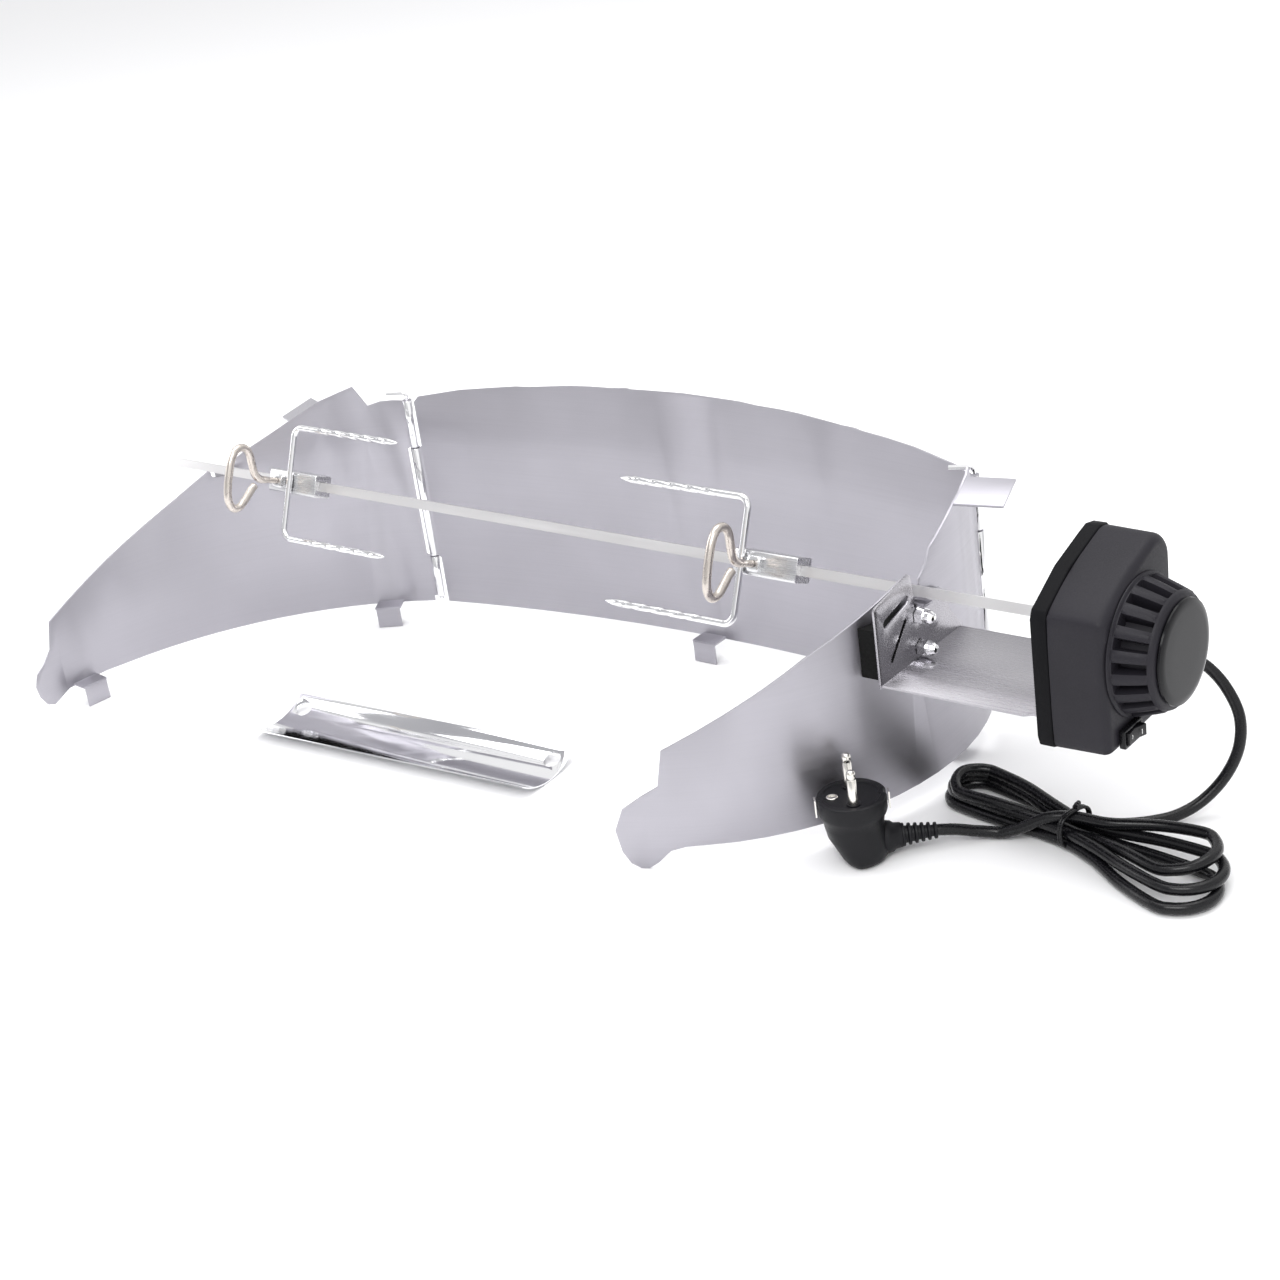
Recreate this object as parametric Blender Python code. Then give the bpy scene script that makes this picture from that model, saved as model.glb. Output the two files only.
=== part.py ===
"""Rotisserie spit roaster: a three-panel hinged ring screen with a motor-driven spit.

Metres, +Z up, +X along the spit towards the motor, +Y towards the back panel.
The object stands on z = 0. Shapes are worked out in a layout frame and shifted
by ORIGIN, so that the finished object is centred over the world origin.
"""

import math

import bmesh
import bpy
from mathutils import Matrix, Vector

# ---------------------------------------------------------------- dimensions
ORIGIN = Vector((0.0383, 0.0003, 0.0))    # layout point that becomes the world origin
SHEET = 0.0012                            # panel and bracket sheet thickness
PANEL_FOOT = 0.012                        # height of the panels' lower edges
GAP = 0.0003                              # gap between neighbouring pieces

# spit
SPIT_Y = 0.0214
SPIT_Z = 0.1200
SPIT_SIDE = 0.0054
SPIT_FROM = -0.3151
SPIT_TO = 0.3500
SPIT_TURN = math.radians(23.5)            # how far the spit is turned at rest
RUN_FIT = 0.00005                         # running clearance per side

# panels: arc centre, mid-surface radius
LEFT_ARC = (Vector((-0.0891, -0.1137)), 0.2300)
RIGHT_ARC = (Vector((0.0835, 0.0439)), 0.1585)
LEFT_HINGE_DEG = 112.4
RIGHT_HINGE_DEG = 22.4
BACK_SAG = 0.020
BACK_TOP = 0.1677
BACK_CROWN = 0.0150
STATION = 0.015                           # spacing of the bend lines on a panel
MERGE_FLAT = 0.0006                       # flat outline points closer than this become one
SHORT_EDGE = 0.00012                      # no edge of a joined solid is shorter than this

# hinges
PIN_R = 0.00140
BORE_R = 0.00148
BARREL_R = 0.0030
KNUCKLE_BOTTOM = 0.0155
KNUCKLE_LOW_SPLIT = 0.0440
KNUCKLE_HIGH_SPLIT = 0.1185
KNUCKLE_TOP = 0.1500
KNUCKLE_CLEAR = 0.0052                    # sheet edge distance beside a neighbour's knuckle
SHEET_START = 0.0022                      # sheet edge inside its own barrel wall

# spit notches
NOTCH_HALF_Y = 0.0047
NOTCH_DROP = 0.0043
TONGUE_OUT = 0.0105
TONGUE_W = 0.0070

# forks
FORK_WIRE_R = 0.0020
FORK_HALF = 0.0340
FORK_TINE = 0.0865
HUB_HALF = 0.0068
HUB_LEN = 0.0400
LEFT_FORK_X = -0.2025
RIGHT_FORK_X = 0.1400
LEFT_HUB_MID = -0.2025
RIGHT_HUB_MID = 0.1540
LEFT_SCREW_X = -0.2125
RIGHT_SCREW_X = 0.1485
SCREW_R = 0.0019
SCREW_BORE_R = 0.00197

# bracket
PLATE_X = 0.2440
SHELF_Z = 0.0841
SHELF_FRONT = -0.0205
SHELF_BACK = 0.0575
SHELF_END = 0.3460
TONGUE_FRONT = -0.0170
TONGUE_BACK = 0.0380
BOLT_Y = 0.0175
BOLT_Z = (0.1085, 0.0908)
BOLT_R = 0.0020

# motor
BACK_PLATE_X = 0.3352
HOUSING_X = 0.3438
FACE_X = 0.3732
DOME_END_X = 0.3935
CAP_END_X = 0.3962
MOTOR_MID_Y = 0.0110
MOTOR_MID_Z = 0.1180
DOME_R = 0.0340
CAP_R = 0.0262
WALL = 0.0022
GEAR_TEETH = 32
PINION_TEETH = 8
GEAR_MODULE = 0.0008
PINION_ANGLE = math.radians(-107.0)       # direction from the spit axis to the motor shaft

# switch
SWITCH_Y = -0.0060
SWITCH_Z = 0.0795
SWITCH_HALF_Y = 0.0090
SWITCH_HALF_Z = 0.0048

# drip pan
PAN_MID = Vector((-0.0669, -0.0557, 0.0))
PAN_TURN = math.radians(3.6)
PAN_LEN = 0.2070
PAN_WIDTH = 0.0495
PAN_SAG = 0.0080
PAN_SHEET = 0.0008
PAN_HOLE_R = 0.0052

# cord and plug
CORD_R = 0.0030
PLUG_MID = Vector((0.2385, -0.0460, 0.0))
PLUG_R = 0.0180
PLUG_FACE_Z = 0.0360
PLUG_EXIT = Vector((0.62, 0.52, 0.0)).normalized()
EARTH_PIN_GAP = 0.0190

# ------------------------------------------------------------------ clean up
for old in list(bpy.data.objects):
    bpy.data.objects.remove(old, do_unlink=True)


# ----------------------------------------------------------------- materials
def material(name, colour, roughness, metallic):
    mat = bpy.data.materials.new(name)
    mat.use_nodes = True
    shader = mat.node_tree.nodes["Principled BSDF"]
    shader.inputs["Base Color"].default_value = (*colour, 1.0)
    shader.inputs["Roughness"].default_value = roughness
    shader.inputs["Metallic"].default_value = metallic
    mat.diffuse_color = (*colour, 1.0)
    return mat


SATIN_STEEL = material("satin_steel", (0.52, 0.51, 0.54), 0.38, 1.0)
DARK_STEEL = material("bracket_steel", (0.40, 0.39, 0.41), 0.30, 1.0)
SPIT_STEEL = material("spit_steel", (0.55, 0.54, 0.54), 0.34, 1.0)
BRIGHT_CHROME = material("bright_chrome", (0.80, 0.80, 0.82), 0.10, 1.0)
SATIN_NICKEL = material("satin_nickel", (0.66, 0.61, 0.57), 0.26, 1.0)
ZINC = material("zinc_plate", (0.58, 0.58, 0.60), 0.28, 1.0)
POLISHED = material("polished_pan", (0.78, 0.78, 0.80), 0.08, 1.0)
HOUSING_BLACK = material("housing_black", (0.020, 0.019, 0.022), 0.55, 0.0)
PLATE_BLACK = material("back_plate_black", (0.010, 0.010, 0.011), 0.65, 0.0)
GLOSS_BLACK = material("gloss_black", (0.012, 0.012, 0.013), 0.18, 0.0)
SWITCH_BLACK = material("switch_black", (0.016, 0.016, 0.017), 0.35, 0.0)
CORD_BLACK = material("cord_black", (0.012, 0.012, 0.012), 0.30, 0.0)
PLUG_BLACK = material("plug_black", (0.014, 0.014, 0.015), 0.38, 0.0)
PAD_BLACK = material("pad_black", (0.008, 0.008, 0.008), 0.80, 0.0)
NYLON = material("gear_nylon", (0.70, 0.69, 0.64), 0.45, 0.0)
BRASS = material("plated_brass", (0.72, 0.68, 0.58), 0.22, 1.0)


# ------------------------------------------------------------- mesh builders
def solid(verts, faces):
    """A closed mesh from points and faces, with its normals turned outward."""
    bm = bmesh.new()
    points = [bm.verts.new(v) for v in verts]
    for face in faces:
        bm.faces.new([points[i] for i in face])
    bmesh.ops.remove_doubles(bm, verts=bm.verts, dist=1e-6)
    bmesh.ops.recalc_face_normals(bm, faces=bm.faces)
    return bm


def ring(centre, side, up, radius, count, phase=0.0):
    out = []
    for i in range(count):
        a = phase + 2.0 * math.pi * i / count
        out.append(centre + side * (radius * math.cos(a)) + up * (radius * math.sin(a)))
    return out


def loft(rings, closed=False):
    """Skin a row of equal rings; the ends are capped unless the row is a loop."""
    count = len(rings[0])
    verts = [v for row in rings for v in row]
    faces = []
    spans = len(rings) if closed else len(rings) - 1
    for r in range(spans):
        a = r * count
        b = ((r + 1) % len(rings)) * count
        for i in range(count):
            j = (i + 1) % count
            faces.append((a + i, a + j, b + j, b + i))
    if not closed:
        faces.append(tuple(reversed(range(count))))
        last = (len(rings) - 1) * count
        faces.append(tuple(last + i for i in range(count)))
    return solid(verts, faces)


def wire(points, radii, sides, first_side):
    """A round bar that follows points, with one radius per point."""
    rings = []
    side = first_side.copy()
    for i, p in enumerate(points):
        before = points[max(i - 1, 0)]
        after = points[min(i + 1, len(points) - 1)]
        along = (after - before).normalized()
        side = (side - along * side.dot(along)).normalized()
        rings.append(ring(p, side, along.cross(side), radii[i], sides))
    return loft(rings)


def turned(base, axis, profile, sides, phase=0.0):
    """A turned solid: profile is (distance along axis, radius) from end to end."""
    axis = axis.normalized()
    side = Vector((0, 0, 1)) if abs(axis.z) < 0.5 else Vector((1, 0, 0))
    side = (side - axis * side.dot(axis)).normalized()
    up = axis.cross(side)
    rings = [ring(base + axis * d, side, up, r, sides, phase) for d, r in profile]
    return loft(rings)


def bored(base, axis, profile, sides, phase=0.0):
    """A turned solid with a through bore: profile is a closed loop."""
    axis = axis.normalized()
    side = Vector((0, 0, 1)) if abs(axis.z) < 0.5 else Vector((1, 0, 0))
    side = (side - axis * side.dot(axis)).normalized()
    up = axis.cross(side)
    rings = [ring(base + axis * d, side, up, r, sides, phase) for d, r in profile]
    return loft(rings, closed=True)


def prism(outline, place, low, high, holes=()):
    """An outline of (a, b) points pushed from low to high; place maps (a, b, c) to space."""
    bm = bmesh.new()
    edges = []
    for loop in (outline, *holes):
        verts = [bm.verts.new((a, b, low)) for a, b in loop]
        for i, v in enumerate(verts):
            edges.append(bm.edges.new((v, verts[(i + 1) % len(verts)])))
    bmesh.ops.triangle_fill(bm, use_beauty=True, edges=edges)
    made = bmesh.ops.extrude_face_region(bm, geom=list(bm.faces))
    lifted = [g for g in made["geom"] if isinstance(g, bmesh.types.BMVert)]
    for v in lifted:
        v.co.z = high
    for v in bm.verts:
        v.co = place(*v.co)
    bmesh.ops.recalc_face_normals(bm, faces=bm.faces)
    return bm


def cuboid(place, a0, a1, b0, b1, c0, c1):
    return prism([(a0, b0), (a1, b0), (a1, b1), (a0, b1)], place, c0, c1)


def rounded_box_outline(a0, a1, b0, b1, radius, steps=3):
    corners = ((a1, b1, 0), (a0, b1, 90), (a0, b0, 180), (a1, b0, 270))
    out = []
    for a, b, start in corners:
        ca = a - radius if a == a1 else a + radius
        cb = b - radius if b == b1 else b + radius
        for i in range(steps + 1):
            t = math.radians(start + 90.0 * i / steps)
            out.append((ca + radius * math.cos(t), cb + radius * math.sin(t)))
    return out


def slot_outline(p, q, half, steps=4):
    """A slot with round ends between two (a, b) points."""
    along = math.atan2(q[1] - p[1], q[0] - p[0])
    out = []
    for centre, start in ((q, -90.0), (p, 90.0)):
        for i in range(steps + 1):
            t = along + math.radians(start + 180.0 * i / steps)
            out.append((centre[0] + half * math.cos(t), centre[1] + half * math.sin(t)))
    return out


def circle_outline(a, b, radius, count):
    turns = [2.0 * math.pi * i / count for i in range(count)]
    return [(a + radius * math.cos(t), b + radius * math.sin(t)) for t in turns]


def tidy(bm, shortest):
    """Collapse every edge shorter than the limit, one at a time, shortest first."""
    while True:
        short = [e for e in bm.edges if e.calc_length() < shortest]
        if not short:
            return
        edge = min(short, key=lambda e: (e.calc_length(), tuple(e.verts[0].co)))
        bmesh.ops.collapse(bm, edges=[edge])


def combine(base, tools, operation):
    """Join or cut solids exactly and return the result as one bmesh."""
    mesh = bpy.data.meshes.new("work")
    base.to_mesh(mesh)
    base.free()
    work = bpy.data.objects.new("work", mesh)
    bpy.context.collection.objects.link(work)
    helpers = []
    for tool in tools:
        tool_mesh = bpy.data.meshes.new("tool")
        tool.to_mesh(tool_mesh)
        tool.free()
        helper = bpy.data.objects.new("tool", tool_mesh)
        bpy.context.collection.objects.link(helper)
        mod = work.modifiers.new("step", "BOOLEAN")
        mod.solver = "EXACT"
        mod.operation = operation
        mod.object = helper
        helpers.append(helper)
    bpy.context.view_layer.update()
    graph = bpy.context.evaluated_depsgraph_get()
    result = bmesh.new()
    result.from_mesh(work.evaluated_get(graph).to_mesh())
    for extra in (work, *helpers):
        bpy.data.objects.remove(extra, do_unlink=True)
    bmesh.ops.triangulate(result, faces=[f for f in result.faces if len(f.verts) > 4])
    tidy(result, SHORT_EDGE)
    return result


def join(base, *parts):
    return combine(base, parts, "UNION")


def cut(base, *tools):
    return combine(base, tools, "DIFFERENCE")


def piece(name, bm, mat, origin=None, smooth_deg=0.0):
    """Turn a bmesh in layout coordinates into a named object at its own origin."""
    pivot = Vector(origin) if origin is not None else Vector((0, 0, 0))
    for v in bm.verts:
        v.co -= pivot
    big = [f for f in bm.faces if len(f.verts) > 4]
    bmesh.ops.triangulate(bm, faces=big)
    for f in bm.faces:
        f.smooth = smooth_deg > 0.0
    limit = math.radians(smooth_deg)
    for e in bm.edges:
        e.smooth = len(e.link_faces) == 2 and e.calc_face_angle(0.0) < limit
    mesh = bpy.data.meshes.new(name)
    bm.to_mesh(mesh)
    bm.free()
    mesh.materials.append(mat)
    obj = bpy.data.objects.new(name, mesh)
    obj.location = pivot - ORIGIN
    bpy.context.collection.objects.link(obj)
    return obj


def smooth_path(points, step):
    """Points every step along a smooth curve through the given points."""
    dense = []
    for i in range(len(points) - 1):
        p0 = points[max(i - 1, 0)]
        p1 = points[i]
        p2 = points[i + 1]
        p3 = points[min(i + 2, len(points) - 1)]
        for k in range(24):
            t = k / 24.0
            dense.append(
                0.5 * ((2 * p1) + (p2 - p0) * t + (2 * p0 - 5 * p1 + 4 * p2 - p3) * t * t
                       + (3 * p1 - p0 - 3 * p2 + p3) * t * t * t)
            )
    dense.append(points[-1])
    lengths = [0.0]
    for a, b in zip(dense, dense[1:]):
        lengths.append(lengths[-1] + (b - a).length)
    count = max(2, round(lengths[-1] / step))
    out = []
    j = 0
    for k in range(count + 1):
        want = lengths[-1] * k / count
        while j < len(dense) - 2 and lengths[j + 1] < want:
            j += 1
        span = max(lengths[j + 1] - lengths[j], 1e-12)
        out.append(dense[j].lerp(dense[j + 1], (want - lengths[j]) / span))
    return out


# -------------------------------------------------------------------- panels
class Arc:
    """Flat panel coordinates (s, z, outward) wrapped on a vertical cylinder."""

    def __init__(self, centre, radius, start_deg, sense):
        self.centre = centre
        self.radius = radius
        self.start = math.radians(start_deg)
        self.sense = sense

    def angle(self, s):
        return self.start + self.sense * s / self.radius

    def outward(self, s):
        a = self.angle(s)
        return Vector((math.cos(a), math.sin(a), 0.0))

    def at(self, s, z, out=0.0):
        flat = self.outward(s) * (self.radius + out)
        return Vector((self.centre.x + flat.x, self.centre.y + flat.y, z))

    def along(self, s):
        a = self.angle(s)
        return Vector((-math.sin(a), math.cos(a), 0.0)) * self.sense

    def s_at_y(self, y):
        """Distance along the arc of the point at height y in plan, on the side away from 0."""
        side = math.copysign(1.0, math.cos(self.start + self.sense * 0.5))
        rise = math.asin((y - self.centre.y) / self.radius)
        a = rise if side > 0 else math.pi - rise
        return (a - self.start) * self.sense * self.radius


LEFT = Arc(*LEFT_ARC, LEFT_HINGE_DEG, 1.0)
RIGHT = Arc(*RIGHT_ARC, RIGHT_HINGE_DEG, -1.0)
HINGE_LEFT = LEFT.at(0.0, 0.0)
HINGE_RIGHT = RIGHT.at(0.0, 0.0)


def back_arc():
    chord = HINGE_RIGHT - HINGE_LEFT
    half = chord.length / 2.0
    radius = (half * half + BACK_SAG * BACK_SAG) / (2.0 * BACK_SAG)
    middle = (HINGE_LEFT + HINGE_RIGHT) / 2.0
    out = Vector((-chord.y, chord.x, 0.0)).normalized()
    centre = middle - out * (radius - BACK_SAG)
    start = math.degrees(math.atan2(HINGE_LEFT.y - centre.y, HINGE_LEFT.x - centre.x))
    return Arc(Vector((centre.x, centre.y)), radius, start, -1.0), 2.0 * radius * math.asin(half / radius)


BACK, BACK_LEN = back_arc()


def sheet_solid(arc, outline):
    """A flat outline of (s, z) given sheet thickness and bent round the arc."""
    bm = bmesh.new()
    verts = [bm.verts.new((s, z, 0.0)) for s, z in outline]
    bm.faces.new(verts)
    bmesh.ops.triangulate(bm, faces=list(bm.faces), ngon_method="EAR_CLIP")
    low = min(s for s, _ in outline)
    high = max(s for s, _ in outline)
    for k in range(1, int((high - low) / STATION)):
        bmesh.ops.bisect_plane(
            bm,
            geom=list(bm.verts) + list(bm.edges) + list(bm.faces),
            plane_co=(low + k * STATION + 0.00037, 0.0, 0.0),
            plane_no=(1.0, 0.0, 0.0),
            dist=1e-5,
        )
    bmesh.ops.remove_doubles(bm, verts=bm.verts, dist=MERGE_FLAT)
    made = bmesh.ops.extrude_face_region(bm, geom=list(bm.faces))
    lifted = {g for g in made["geom"] if isinstance(g, bmesh.types.BMVert)}
    for v in bm.verts:
        out = SHEET / 2.0 if v in lifted else -SHEET / 2.0
        v.co = arc.at(v.co.x, v.co.y, out)
    bmesh.ops.recalc_face_normals(bm, faces=bm.faces)
    return bm


def on_arc(arc, s):
    """Place (along, outward, z) coordinates on the tangent plane of the arc at s."""
    base = arc.at(s, 0.0)
    along = arc.along(s)
    out = arc.outward(s)
    return lambda a, b, c: base + along * a + out * b + Vector((0, 0, c))


def barrel(axis_point, low, high):
    profile = [(low, BARREL_R), (high, BARREL_R), (high, BORE_R), (low, BORE_R)]
    base = Vector((axis_point.x, axis_point.y, 0.0))
    return bored(base, Vector((0, 0, 1)), profile, 16)


def clip(arc, s):
    """A rim clip: a tab turned inward with a lip down to the ground."""
    place = on_arc(arc, s)
    half = 0.0085
    reach = 0.012
    tab = cuboid(place, -half, half, -reach, 0.0002, PANEL_FOOT + 0.0003, PANEL_FOOT + 0.0015)
    lip = cuboid(place, -half + 0.0007, half - 0.0007, -reach - 0.0006, -reach + 0.0006,
                 0.0, PANEL_FOOT + 0.0009)
    return tab, lip


def top_tab(arc, s0, z0, s1, z1, reach, skew):
    """A lug turned outward from the sloping top edge between two points of it."""
    mid = (s0 + s1) / 2.0
    place = on_arc(arc, mid)
    half = (s1 - s0) / 2.0
    slope = (z1 - z0) / (s1 - s0)
    zm = (z0 + z1) / 2.0 - 0.0014
    outline = [(-half, -0.0001), (half, -0.0001), (half + skew, reach), (-half + skew, reach)]
    return prism(outline, lambda a, b, c: place(a, b, zm + slope * a + c), 0.0, SHEET)


def notch_tongue(arc, s):
    place = on_arc(arc, s)
    top = SPIT_Z - NOTCH_DROP - 0.0006
    half = TONGUE_W / 2.0
    return cuboid(place, -half, half, -0.0001, TONGUE_OUT, top - SHEET, top)


def wing_edge(split_low, split_high, top):
    """Hinge edge of a wing from the bottom up: own knuckles low and high."""
    return [
        (KNUCKLE_CLEAR, PANEL_FOOT),
        (KNUCKLE_CLEAR, KNUCKLE_BOTTOM),
        (SHEET_START, KNUCKLE_BOTTOM + 0.0004),
        (SHEET_START, split_low - 0.0010),
        (KNUCKLE_CLEAR, split_low + 0.0012),
        (KNUCKLE_CLEAR, split_high - 0.0012),
        (SHEET_START, split_high + 0.0010),
        (SHEET_START, top - 0.0004),
    ]


def notch_corners(arc, flank_z, inner_z):
    """Slot for the spit, from the hinge side down, across and up the far side."""
    s_mid = arc.s_at_y(SPIT_Y)
    across = abs(arc.along(s_mid).y)
    half = (NOTCH_HALF_Y + SHEET / 2.0 * abs(arc.outward(s_mid).y)) / across
    bottom = SPIT_Z - NOTCH_DROP
    return s_mid, [
        (s_mid - half, inner_z),
        (s_mid - half, bottom + 0.0012),
        (s_mid - half + 0.0012, bottom),
        (s_mid + half - 0.0012, bottom),
        (s_mid + half, bottom + 0.0012),
        (s_mid + half, flank_z - 0.0015),
        (s_mid + half + 0.0015, flank_z),
    ]


def wing_barrels(hinge):
    low = barrel(hinge, KNUCKLE_BOTTOM, KNUCKLE_LOW_SPLIT - GAP)
    high = barrel(hinge, KNUCKLE_HIGH_SPLIT + GAP, KNUCKLE_TOP)
    return low, high


def build_left_panel():
    s_notch, notch = notch_corners(LEFT, 0.1206, 0.1226)
    outline = wing_edge(KNUCKLE_LOW_SPLIT, KNUCKLE_HIGH_SPLIT, KNUCKLE_TOP)
    outline += [(0.0098, 0.1501), (0.0181, 0.1499), (0.0268, 0.1476), (0.0346, 0.1609)]
    outline += [(0.0575, 0.1535), (0.0781, 0.1435), (0.1107, 0.1282)]
    outline += notch
    outline += [(0.1592, 0.1075), (0.2111, 0.0827), (0.2587, 0.0590), (0.2631, 0.0416)]
    outline += [(0.2700, 0.0345), (0.2765, 0.0300), (0.2793, 0.0225), (0.2780, 0.0150)]
    outline += [(0.2740, 0.0085), (0.2690, 0.0065), (0.2640, 0.0085), (0.2560, PANEL_FOOT)]
    sheet = sheet_solid(LEFT, outline)
    extras = [*wing_barrels(HINGE_LEFT), *clip(LEFT, 0.2440), *clip(LEFT, 0.0350)]
    extras.append(top_tab(LEFT, 0.0575, 0.1535, 0.0781, 0.1435, 0.0230, 0.0080))
    extras.append(notch_tongue(LEFT, s_notch))
    return join(sheet, *extras)


def build_right_panel():
    s_notch, notch = notch_corners(RIGHT, 0.1290, 0.1240)
    outline = wing_edge(KNUCKLE_LOW_SPLIT, KNUCKLE_HIGH_SPLIT, KNUCKLE_TOP)
    outline += [(0.0095, 0.1520), (0.0145, 0.1600), (0.0181, 0.1570), (0.0408, 0.1503)]
    outline += [(0.0685, 0.1370), (0.0729, 0.1293)]
    outline += notch
    outline += [(0.1153, 0.1202), (0.1528, 0.1062), (0.1765, 0.0944), (0.2314, 0.0675)]
    outline += [(0.2355, 0.0472), (0.2450, 0.0417), (0.2560, 0.0340), (0.2613, 0.0215)]
    outline += [(0.2590, 0.0090), (0.2550, 0.0025), (0.2500, 0.0), (0.2455, 0.0)]
    outline += [(0.2400, 0.0035), (0.2330, 0.0100), (0.2250, PANEL_FOOT)]
    sheet = sheet_solid(RIGHT, outline)
    extras = [*wing_barrels(HINGE_RIGHT), *clip(RIGHT, 0.0350)]
    extras.append(top_tab(RIGHT, 0.0190, 0.1567, 0.0408, 0.1503, 0.0270, 0.0))
    extras.append(notch_tongue(RIGHT, s_notch))
    whole = join(sheet, *extras)
    drills = []
    for z in BOLT_Z:
        start = Vector((PLATE_X - 0.012, BOLT_Y, z))
        drills.append(turned(start, Vector((1, 0, 0)), [(0, 0.0022), (0.020, 0.0022)], 12))
    return cut(whole, *drills)


def build_back_panel():
    def edge(s_sign):
        pts = [
            (KNUCKLE_CLEAR, PANEL_FOOT),
            (KNUCKLE_CLEAR, KNUCKLE_LOW_SPLIT - 0.0012),
            (SHEET_START, KNUCKLE_LOW_SPLIT + 0.0010),
            (SHEET_START, KNUCKLE_HIGH_SPLIT - 0.0010),
            (KNUCKLE_CLEAR, KNUCKLE_HIGH_SPLIT + 0.0012),
            (KNUCKLE_CLEAR, 0.1490),
            (KNUCKLE_CLEAR + 0.0035, 0.1525),
        ]
        if s_sign > 0:
            return pts
        return [(BACK_LEN - s, z) for s, z in reversed(pts)]

    outline = edge(1)
    half = BACK_LEN / 2.0
    for k in range(1, 10):
        s = BACK_LEN * k / 10.0
        outline.append((s, BACK_TOP - BACK_CROWN * ((s - half) / half) ** 2))
    outline += edge(-1)
    sheet = sheet_solid(BACK, outline)
    low = KNUCKLE_LOW_SPLIT + GAP
    high = KNUCKLE_HIGH_SPLIT - GAP
    extras = [barrel(HINGE_LEFT, low, high), barrel(HINGE_RIGHT, low, high)]
    extras += clip(BACK, half + 0.0015)
    return join(sheet, *extras)


def build_hinge_pin(hinge, lean):
    """A long pin with its top end bent over to one side."""
    top = KNUCKLE_TOP + 0.0040
    turn = 0.0022
    axis = Vector((hinge.x, hinge.y, 0.0))
    up = Vector((0, 0, 1))
    points = [axis + up * 0.0135, axis + up * (top - turn)]
    for deg in (30, 60, 90):
        a = math.radians(deg)
        points.append(axis + lean * (turn - turn * math.cos(a)) + up * (top - turn + turn * math.sin(a)))
    points.append(axis + lean * 0.0130 + up * top)
    return wire(points, [PIN_R] * len(points), 12, Vector((1, 0, 0)))


piece("back_panel", build_back_panel(), SATIN_STEEL, smooth_deg=30)
piece("left_panel", build_left_panel(), SATIN_STEEL, HINGE_LEFT, 30)
piece("right_panel", build_right_panel(), SATIN_STEEL, HINGE_RIGHT, 30)
piece("left_hinge_pin", build_hinge_pin(HINGE_LEFT, LEFT.along(0.0)), BRIGHT_CHROME, HINGE_LEFT, 40)
piece("right_hinge_pin", build_hinge_pin(HINGE_RIGHT, -RIGHT.outward(0.0)), BRIGHT_CHROME, HINGE_RIGHT, 40)

# ---------------------------------------------------------------------- spit
AXIS = Vector((0.0, SPIT_Y, SPIT_Z))
UP = Vector((0.0, math.sin(SPIT_TURN), math.cos(SPIT_TURN)))
OUT = Vector((0.0, -math.cos(SPIT_TURN), math.sin(SPIT_TURN)))
ALONG = Vector((1.0, 0.0, 0.0))


def on_spit(x, up, out):
    """A point at x on the spit, up and out measured with the spit's own turn."""
    return AXIS + ALONG * x + UP * up + OUT * out


def spit_rings(stations):
    rows = []
    for x, half in stations:
        corners = ((half, half), (-half, half), (-half, -half), (half, -half))
        rows.append([on_spit(x, u, v) for u, v in corners])
    return rows


HALF_SPIT = SPIT_SIDE / 2.0
piece(
    "spit_rod",
    loft(spit_rings([(SPIT_FROM, HALF_SPIT - 0.0012), (SPIT_FROM + 0.0015, HALF_SPIT),
                     (SPIT_TO, HALF_SPIT)])),
    SPIT_STEEL,
    AXIS,
)


def square_hole(half):
    return [(half, half), (-half, half), (-half, -half), (half, -half)]


def build_hub(mid, screw_x):
    outline = rounded_box_outline(-HUB_HALF, HUB_HALF, -HUB_HALF, HUB_HALF, 0.0012, 2)
    hole = square_hole(HALF_SPIT + RUN_FIT)
    block = prism(outline, lambda a, b, c: on_spit(c, a, b), mid - HUB_LEN / 2.0,
                  mid + HUB_LEN / 2.0, [hole])
    start = on_spit(screw_x, 0.0, 0.0010)
    drill = turned(start, OUT, [(0, SCREW_BORE_R), (0.010, SCREW_BORE_R)], 16)
    return cut(block, drill)


def build_fork(bar_x, tine_dir):
    out = HUB_HALF + FORK_WIRE_R + GAP
    bend = 0.0055
    half_path = []
    half_path.append((FORK_TINE, FORK_HALF, 0.0003))
    half_path.append((FORK_TINE - 0.0060, FORK_HALF, FORK_WIRE_R))
    half_path.append((bend, FORK_HALF, FORK_WIRE_R))
    for deg in (30, 60, 90):
        a = math.radians(deg)
        half_path.append((bend - bend * math.sin(a), FORK_HALF - bend + bend * math.cos(a), FORK_WIRE_R))
    points = [on_spit(bar_x + tine_dir * x, up, out) for x, up, _ in half_path]
    radii = [r for _, _, r in half_path]
    points += [on_spit(bar_x + tine_dir * x, -up, out) for x, up, _ in reversed(half_path)]
    radii += list(reversed(radii))
    return wire(points, radii, 8, UP)


SCREW_EYE = [(0.0200, 0.0), (0.0245, 0.0003), (0.0290, 0.0030), (0.0322, 0.0090),
             (0.0355, 0.0155), (0.0405, 0.0185), (0.0460, 0.0170), (0.0490, 0.0115),
             (0.0498, 0.0040), (0.0497, -0.0060), (0.0480, -0.0140), (0.0435, -0.0185),
             (0.0382, -0.0172), (0.0338, -0.0118), (0.0305, -0.0052)]


def build_thumbscrew(x):
    """A bent wire screw: a straight threaded stem that ends in an open eye."""
    eye = [on_spit(x, up, out) for out, up in SCREW_EYE]
    points = [on_spit(x, 0.0, HALF_SPIT + GAP), *smooth_path(eye, 0.0042)]
    radii = [SCREW_R] * len(points)
    return wire(points, radii, 8, ALONG)


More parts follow.
